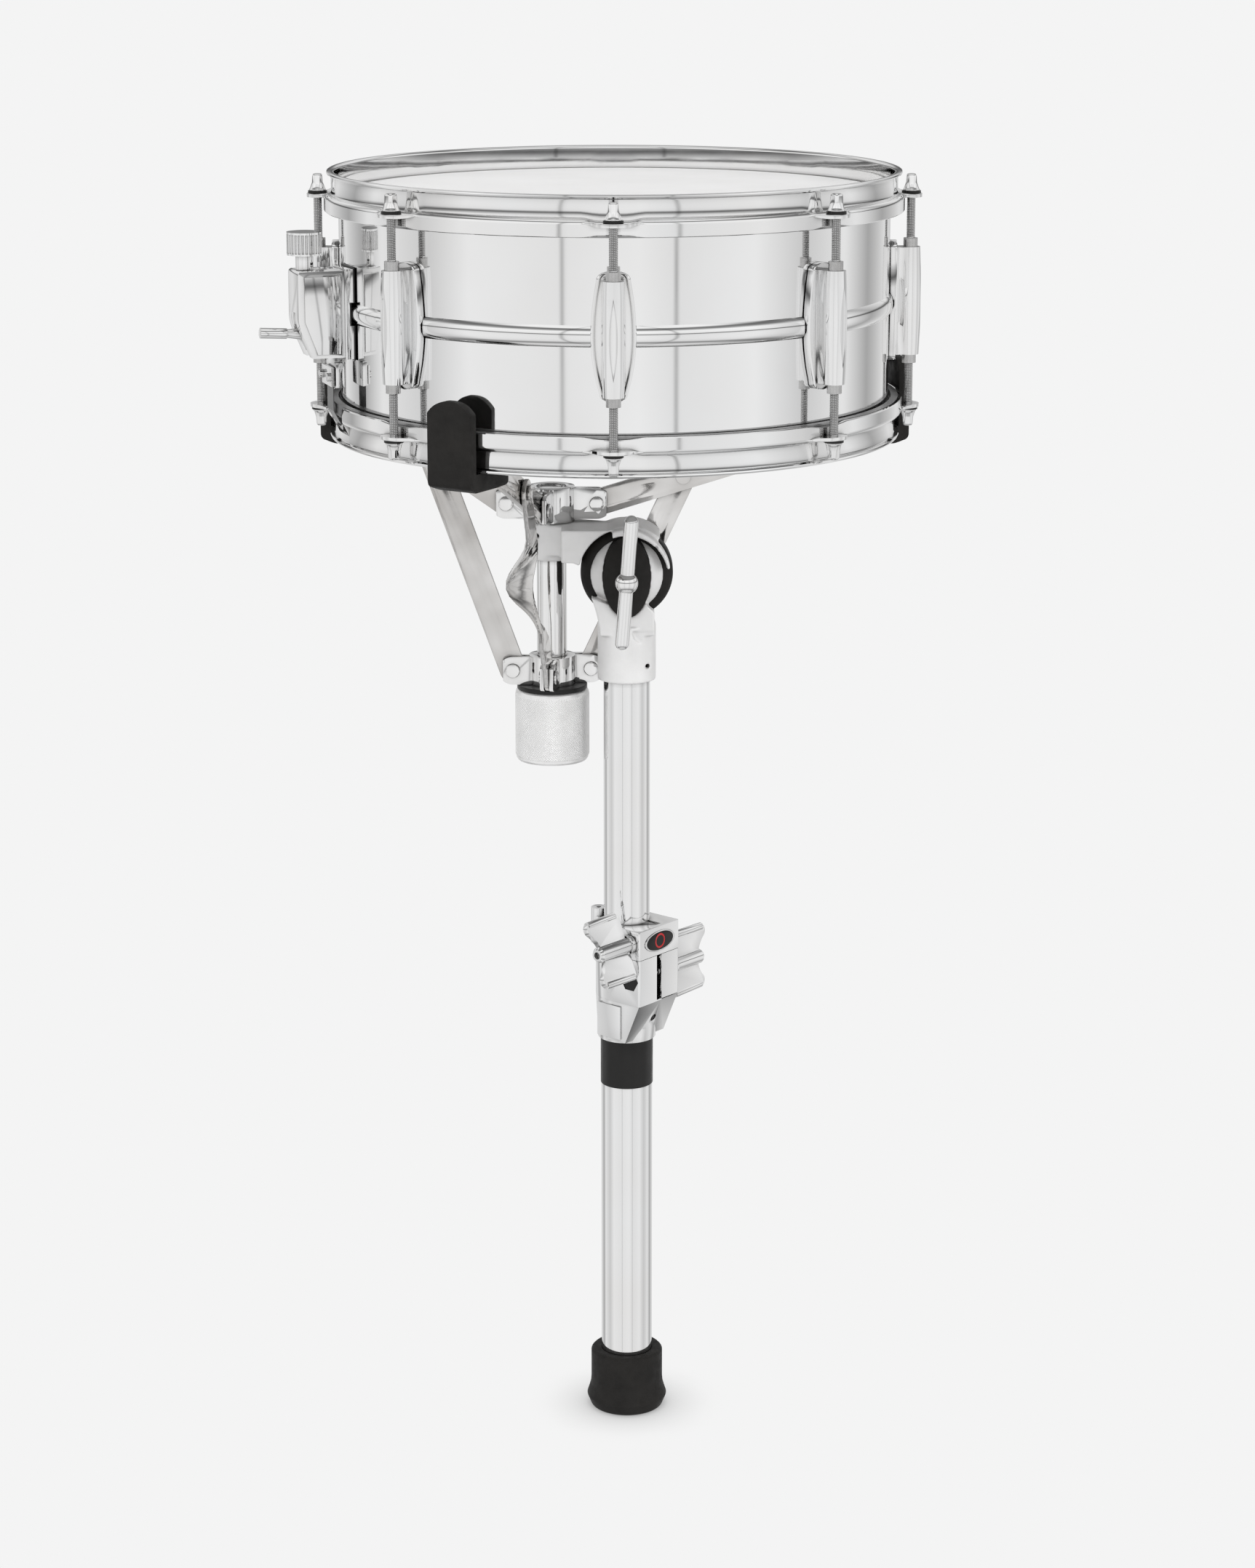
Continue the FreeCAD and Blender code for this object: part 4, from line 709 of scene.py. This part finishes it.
def lug_mesh():
    """A lug's points and faces: X away from the drum's axis, Y round it and Z up from the lug's middle."""
    levels = [-z for z in reversed(LUG_LEVELS)] + [0] + LUG_LEVELS
    points = []
    for z in levels:
        half = lug_section(z, abs(z) <= BARREL_HALF)
        points += [Vector((r, y, z)) * MM for r, y in half + [(r, -y) for r, y in reversed(half[:-1])]]
    width = len(points) // len(levels)
    return points, grid_faces(len(levels), width) + end_faces(0, len(points), width)


def make_lugs():
    """The eight lugs, all alike."""
    points, faces = lug_mesh()
    for number, azimuth in enumerate(ROD_AZIMUTHS, 1):
        out = heading(azimuth)
        side = Vector((-out.y, out.x, 0))
        placed = [DRUM + out * p.x + side * p.y + Vector((0, 0, p.z)) for p in points]
        node = "lug_%d" % number
        piece(node + "_cast", solid(node + "_cast", placed, faces, 30), "chrome", "drum", (node,))


# ---------------------------------------------------------------- threads, wires and knurling
THREAD_CREST, THREAD_ROOT, THREAD_PITCH, THREAD_SIDES = 2.76, 2.52, 1.058, 12
WASHER_STACK = 1.6


def thread_strip(foot, length, points, faces):
    """Adds one screw thread standing on foot. A row takes half a pitch, from root to crest or back, and
    climbs as it goes round, so that its end meets the start of the row two above it."""
    rows = 2 * int(length / THREAD_PITCH)
    start = len(points)
    for row in range(rows + 1):
        for side in range(THREAD_SIDES):
            a = 2 * math.pi * side / THREAD_SIDES
            radius = THREAD_CREST if row % 2 else THREAD_ROOT
            rise = min((row / 2 + side / THREAD_SIDES) * THREAD_PITCH, length)
            points.append(foot + Vector((radius * math.cos(a), radius * math.sin(a), rise)) * MM)
    for row in range(rows):
        for side in range(THREAD_SIDES):
            a = start + row * THREAD_SIDES + side
            b = a + 1
            if side == THREAD_SIDES - 1:
                if row + 3 > rows:
                    continue
                b = start + (row + 2) * THREAD_SIDES
            faces.append((a, b, b + THREAD_SIDES, a + THREAD_SIDES))


def make_threads():
    """The bare thread of every tension rod, between its swivel nut and the hoop's ear."""
    nuts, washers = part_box("lug_swivel_nuts"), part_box("rod_washers")
    points, faces = [], []
    length = (washers[1].z - nuts[1].z) / MM - WASHER_STACK - HOOP_WALL
    for azimuth in ROD_AZIMUTHS:
        spot = Vector((DRUM.x, DRUM.y, 0)) + heading(azimuth) * ROD_CIRCLE * MM
        thread_strip(spot + Vector((0, 0, nuts[1].z)), length, points, faces)
        thread_strip(spot + Vector((0, 0, nuts[0].z - length * MM)), length, points, faces)
    piece("rod_threads", solid("rod_threads", points, faces, 25), "steel", "drum", finish=THREAD_STEEL)


KNURL_SIDES, KNURL_STEP, KNURL_DEPTH = 184, 0.85, 0.42

# the level of the knurl's first ring, and how much of the nut's height is left plain
KNURL_START, KNURL_MARGIN = 4, 7

# the nut's plain bottom and top edges, as (distance in from its radius, distance from that end)
NUT_BOTTOM = [(4, 0), (1.7, 0.4), (0.8, 1.8), (0.6, 3.3)]
NUT_TOP = [(0.4, 2.4), (1, 1.1), (2, 0.3), (2.8, 0)]


def nut_rows(radius, height, bore):
    """The rings of the nut as (radius, level, how deep every other point is cut), ending in its bore."""
    bottom = [(radius - inwards, rise, 0) for inwards, rise in NUT_BOTTOM]
    knurls = range(int((height - KNURL_MARGIN) / KNURL_STEP))
    band = [(radius, KNURL_START + KNURL_STEP * k, KNURL_DEPTH) for k in knurls]
    top = [(radius - inwards, height - drop, 0) for inwards, drop in NUT_TOP]
    return bottom + band + top + [(bore + 0.8, height, 0), (bore, height - 0.8, 0), (bore, 4.8, 0)]


def make_nut(sides=KNURL_SIDES):
    """The tightening nut, with its diamond knurl cut in relief."""
    low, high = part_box("basket_nut")
    bore = (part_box("basket_tube")[1].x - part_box("basket_tube")[0].x) / 2 / MM + 0.08
    radius, height = (high.x - low.x) / 2 / MM, (high.z - low.z) / MM
    rows = nut_rows(radius, height, bore)
    centre = Vector(((low.x + high.x) / 2, (low.y + high.y) / 2, low.z))
    points, faces = [], []
    for row, (r, z, cut) in enumerate(rows):
        for side in range(sides):
            a = 2 * math.pi * side / sides
            here = r - (cut if (row + side) % 2 else 0)
            points.append(centre + Vector((here * math.cos(a), here * math.sin(a), z)) * MM)
    for row in range(len(rows) - 1):
        for side in range(sides):
            a, b = row * sides + side, row * sides + (side + 1) % sides
            c, d = b + sides, a + sides
            if rows[row][2] == 0 and rows[row + 1][2] == 0:
                faces.append((a, b, c, d))
            elif (row + side) % 2:
                faces += [(a, b, c), (a, c, d)]
            else:
                faces += [(a, b, d), (b, c, d)]
    faces += end_faces(0, len(points), sides)
    piece("nut_knurled", solid("nut_knurled", points, faces, 22), "satin_nut", "nut", ("basket_nut",))


WIRES, WIRE_SPACING, COIL, WIRE, COIL_PITCH = 20, 2.4, 0.55, 0.2, 1.9
COIL_STEPS, WIRE_SIDES = 5, 3
WIRE_REACH, PLATE_START, PLATE_REACH, PLATE_WIDE = 151, 149.5, 166.5, 25
PLATE_PROFILE = [(PLATE_START, -0.7), (PLATE_START, -0.1), (164.6, -0.1), (166.1, -0.2), (166.5, -0.5),
                 (166.1, -0.75)]


def wire_spots(y):
    """Rings of points along one coiled wire, as (along the wires, across them, up)."""
    steps = int(2 * WIRE_REACH / COIL_PITCH * COIL_STEPS)
    spots = []
    for step in range(steps + 1):
        a = 2 * math.pi * step / COIL_STEPS
        x = -WIRE_REACH + 2 * WIRE_REACH * step / steps
        for k in range(WIRE_SIDES):
            b = 2 * math.pi * k / WIRE_SIDES
            reach = COIL + WIRE * math.cos(b)
            spots.append((x + WIRE * math.sin(b), y + reach * math.cos(a), reach * math.sin(a)))
    return spots


def end_plate_spots(way):
    """The sections of one end plate, narrowed at its two sides, as (along the wires, across them, up)."""
    spots = []
    for y in (-PLATE_WIDE, 0.6 - PLATE_WIDE, PLATE_WIDE - 0.6, PLATE_WIDE):
        inset = 0.5 if abs(y) == PLATE_WIDE else 0
        for x, z in PLATE_PROFILE:
            spots.append((way * min(max(x, PLATE_START + inset), PLATE_REACH - inset), y, z))
    return spots


def make_snare_wires():
    """Twenty coiled wires soldered to two end plates with turned-up hems."""
    low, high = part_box("snare_wires")
    out = heading(STRAINER_AZIMUTH)
    side = Vector((-out.y, out.x, 0))
    centre = Vector((DRUM.x, DRUM.y, (low.z + high.z) / 2))
    points, faces = [], []

    def place(spots):
        """Adds spots, given in the wires' own directions, to the points."""
        points.extend(centre + (out * x + side * y + Vector((0, 0, z))) * MM for x, y, z in spots)

    for wire in range(WIRES):
        start = len(points)
        place(wire_spots((wire - (WIRES - 1) / 2) * WIRE_SPACING))
        faces += grid_faces((len(points) - start) // WIRE_SIDES, WIRE_SIDES, start=start)
    for way in (-1, 1):
        start = len(points)
        place(end_plate_spots(way))
        count = len(PLATE_PROFILE)
        faces += grid_faces((len(points) - start) // count, count, start=start)
        faces += end_faces(start, len(points), count)
    piece("snare_coils", solid("snare_coils", points, faces), "steel_wire", "drum", ("snare_wires",))


# ---------------------------------------------------------------- badge
LOCK_FACE, LOCK_HALF = 28.5, 9.75


def oval_plate(name, wide, tall, front, hole=0.0, sides=72):
    """A domed oval plate, or a ring when it has a hole, on the end face of the memory lock."""
    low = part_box("memory_lock")[0]
    out = heading(CLAMP_AZIMUTH)
    side = Vector((-out.y, out.x, 0))
    centre = Vector((0, 0, low.z + LOCK_HALF * MM)) + out * LOCK_FACE * MM
    shares = [(1, 0.02), (1, front - 0.25), (1 - 0.35 / tall, front)]
    if hole:
        shares += [(hole + 0.3 / tall, front), (hole, front - 0.2), (hole, 0.02)]
    else:
        shares += [(0.5, front + 0.1), (0.02, front + 0.12)]
    points = []
    for share, rise in shares:
        for k in range(sides):
            a = 2 * math.pi * k / sides
            spot = side * wide * share * math.cos(a) + Vector((0, 0, tall * share * math.sin(a)))
            points.append(centre + (spot + out * rise) * MM)
    faces = grid_faces(len(shares), sides, join_rows=bool(hole))
    if not hole:
        faces += end_faces(0, len(points), sides)
    return solid(name, points, faces)


def make_badge():
    """A generic badge: a black oval in a bright rim, with a plain red ring."""
    piece("badge_rim", oval_plate("badge_rim", 15.2, 6.9, 0.8, hole=0.9), "chrome", "post")
    piece("badge_field", oval_plate("badge_field", 13.7, 6.2, 0.55), "black_plastic", "post")
    ring = oval_plate("badge_ring", 5.2, 5.2, 0.8, hole=0.72)
    piece("badge_ring", ring, "strap_film", "post", finish=BADGE_RED)


# ---------------------------------------------------------------- studio
# brightness of the mirrored room round about: panels between thin dark seams, and a darker back; in
# degrees from -Y, where the camera stands
ROOM_ROUND = [(-180, 0.55), (-150, 0.8), (-128, 0.42), (-112, 0.88), (-82, 0.68), (-62, 0.92), (-22, 0.87),
              (-20.8, 0.34), (-19.6, 0.88), (10, 0.93), (24.3, 0.84), (25.5, 0.34), (26.7, 0.84), (60, 0.92),
              (84, 0.66), (110, 0.88), (130, 0.42), (152, 0.8), (180, 0.55)]

# its brightness from straight down to straight up, with a dark line just over the horizon
ROOM_UP = [(-90, 0.7), (-64, 0.8), (-52, 0.25), (-38, 0.85), (-22, 0.95), (-6, 0.96), (0, 0.9), (4, 0.1),
           (10, 1.0), (30, 1.1), (42, 0.3), (52, 0.2), (60, 1.1), (90, 0.9)]


class Room(Tree):
    """The world's nodes."""

    def sum_of(self, operation, first, second=0.0):
        """The output of a sum with one or two terms."""
        made = self.node("ShaderNodeMath", operation=operation)
        self.feed(made.inputs[0], first)
        self.feed(made.inputs[1], second)
        return made.outputs[0]

    def ramp(self, angle, whole, stops):
        """A grey ramp over (degrees, brightness) stops that span whole degrees about zero."""
        made = self.node("ShaderNodeValToRGB")
        turns = self.sum_of("DIVIDE", angle, math.radians(whole))
        self.feed(made.inputs["Fac"], self.sum_of("ADD", turns, 0.5))
        elements = made.color_ramp.elements
        while len(elements) < len(stops):
            elements.new(0.5)
        for element, (degrees, value) in zip(elements, stops):
            element.position = 0.5 + degrees / whole
            element.color = (value, value, value, 1)
        return made.outputs["Color"]


def make_world():
    """A bright room of soft panels for the chrome to mirror, and a plain pale backdrop for the camera."""
    world = bpy.data.worlds.new("studio")
    bpy.context.scene.world = world
    world.use_nodes = True
    world.node_tree.nodes.clear()
    room = Room(world.node_tree)
    way = room.node("ShaderNodeSeparateXYZ")
    room.feed(way.inputs[0], room.node("ShaderNodeTexCoord").outputs["Generated"])
    towards_camera = room.sum_of("MULTIPLY", way.outputs["Y"], -1.0)
    bearing = room.sum_of("ARCTAN2", way.outputs["X"], towards_camera)
    height = room.sum_of("ARCSINE", way.outputs["Z"])
    seen = room.node("ShaderNodeMix", data_type="RGBA", blend_type="MULTIPLY")
    room.feed(seen.inputs["Factor"], 1)
    room.feed(seen.inputs["A"], room.ramp(bearing, 360, ROOM_ROUND))
    room.feed(seen.inputs["B"], room.ramp(height, 180, ROOM_UP))
    mirrored = room.node("ShaderNodeBackground")
    room.feed(mirrored.inputs["Color"], seen.outputs["Result"])
    plain = room.node("ShaderNodeBackground")
    room.feed(plain.inputs["Color"], (*grey(BACKDROP), 1))
    pick = room.node("ShaderNodeMixShader")
    room.feed(pick.inputs[0], room.node("ShaderNodeLightPath").outputs["Is Camera Ray"])
    room.feed(pick.inputs[1], mirrored.outputs[0])
    room.feed(pick.inputs[2], plain.outputs[0])
    room.feed(room.node("ShaderNodeOutputWorld").inputs["Surface"], pick.outputs[0])


def make_floor(reach=1.6, count=96):
    """A pale floor that glows as bright as the backdrop, with a painted contact shadow where the foot
    touches it.
    """
    points = [(reach * math.cos(2 * math.pi * i / count), reach * math.sin(2 * math.pi * i / count), 0)
              for i in range(count)]
    floor = bpy.data.objects.new("floor", mesh_of("floor", points, [tuple(range(count))]))
    bpy.context.scene.collection.objects.link(floor)
    made = Finish("floor", grey(BACKDROP))
    # painted contact shadow: ambient occlusion darkens the floor's glow near the foot
    contact = made.node("ShaderNodeAmbientOcclusion", samples=16)
    contact.inputs["Distance"].default_value = 0.045
    shade = made.spread(contact.outputs["AO"], 0.2, BACKDROP, 0.05, 0.96)
    glow = made.node("ShaderNodeEmission")
    made.feed(glow.inputs["Color"], shade)
    clear = made.node("ShaderNodeBsdfTransparent")
    pick = made.node("ShaderNodeMixShader")
    made.feed(pick.inputs[0], made.node("ShaderNodeLightPath").outputs["Is Camera Ray"])
    made.feed(pick.inputs[1], clear.outputs[0])
    made.feed(pick.inputs[2], glow.outputs[0])
    made.feed(made.tree.nodes["Material Output"].inputs["Surface"], pick.outputs[0])
    floor.data.materials.append(made.material)


def make_lamp(name, place, aim, width, power):
    """A soft square lamp, in metres and watts, that the chrome doesn't mirror."""
    light = bpy.data.lights.new(name, "AREA")
    light.size = width
    light.energy = power
    lamp = bpy.data.objects.new(name, light)
    bpy.context.scene.collection.objects.link(lamp)
    lamp.location = place
    lamp.visible_glossy = False
    lamp.rotation_euler = (Vector(aim) - Vector(place)).to_track_quat("-Z", "Y").to_euler()


def make_camera():
    """The photograph's view: 2.3 m in front, above the drum's top, looking down by 12 degrees."""
    data = bpy.data.cameras.new("camera")
    data.sensor_fit = "VERTICAL"
    data.sensor_height = 36
    data.lens = 81.65
    data.shift_y = -0.1135
    camera = bpy.data.objects.new("camera", data)
    bpy.context.scene.collection.objects.link(camera)
    camera.location = (0.0005, -2.3, 1.0528)
    camera.rotation_euler = (math.radians(78), 0, 0)
    bpy.context.scene.camera = camera


def make_studio():
    """Everything round the drum: the room, the floor, three lamps and the camera."""
    make_world()
    make_floor()
    make_lamp("key", (-1.6, -2.2, 2.6), (0, 0, 0.6), 1.6, 44)
    make_lamp("top", (0, -0.2, 2.6), (0, 0, 0.8), 1.4, 6)
    make_lamp("fill", (1.8, -1.6, 1.4), (0, 0, 0.5), 1.2, 20)
    make_camera()
    bpy.context.scene.view_settings.view_transform = "Standard"


finish_nodes()
soften_castings()
make_shell()
make_hoops()
make_rods()
make_lugs()
make_threads()
make_nut()
make_snare_wires()
make_badge()
make_studio()
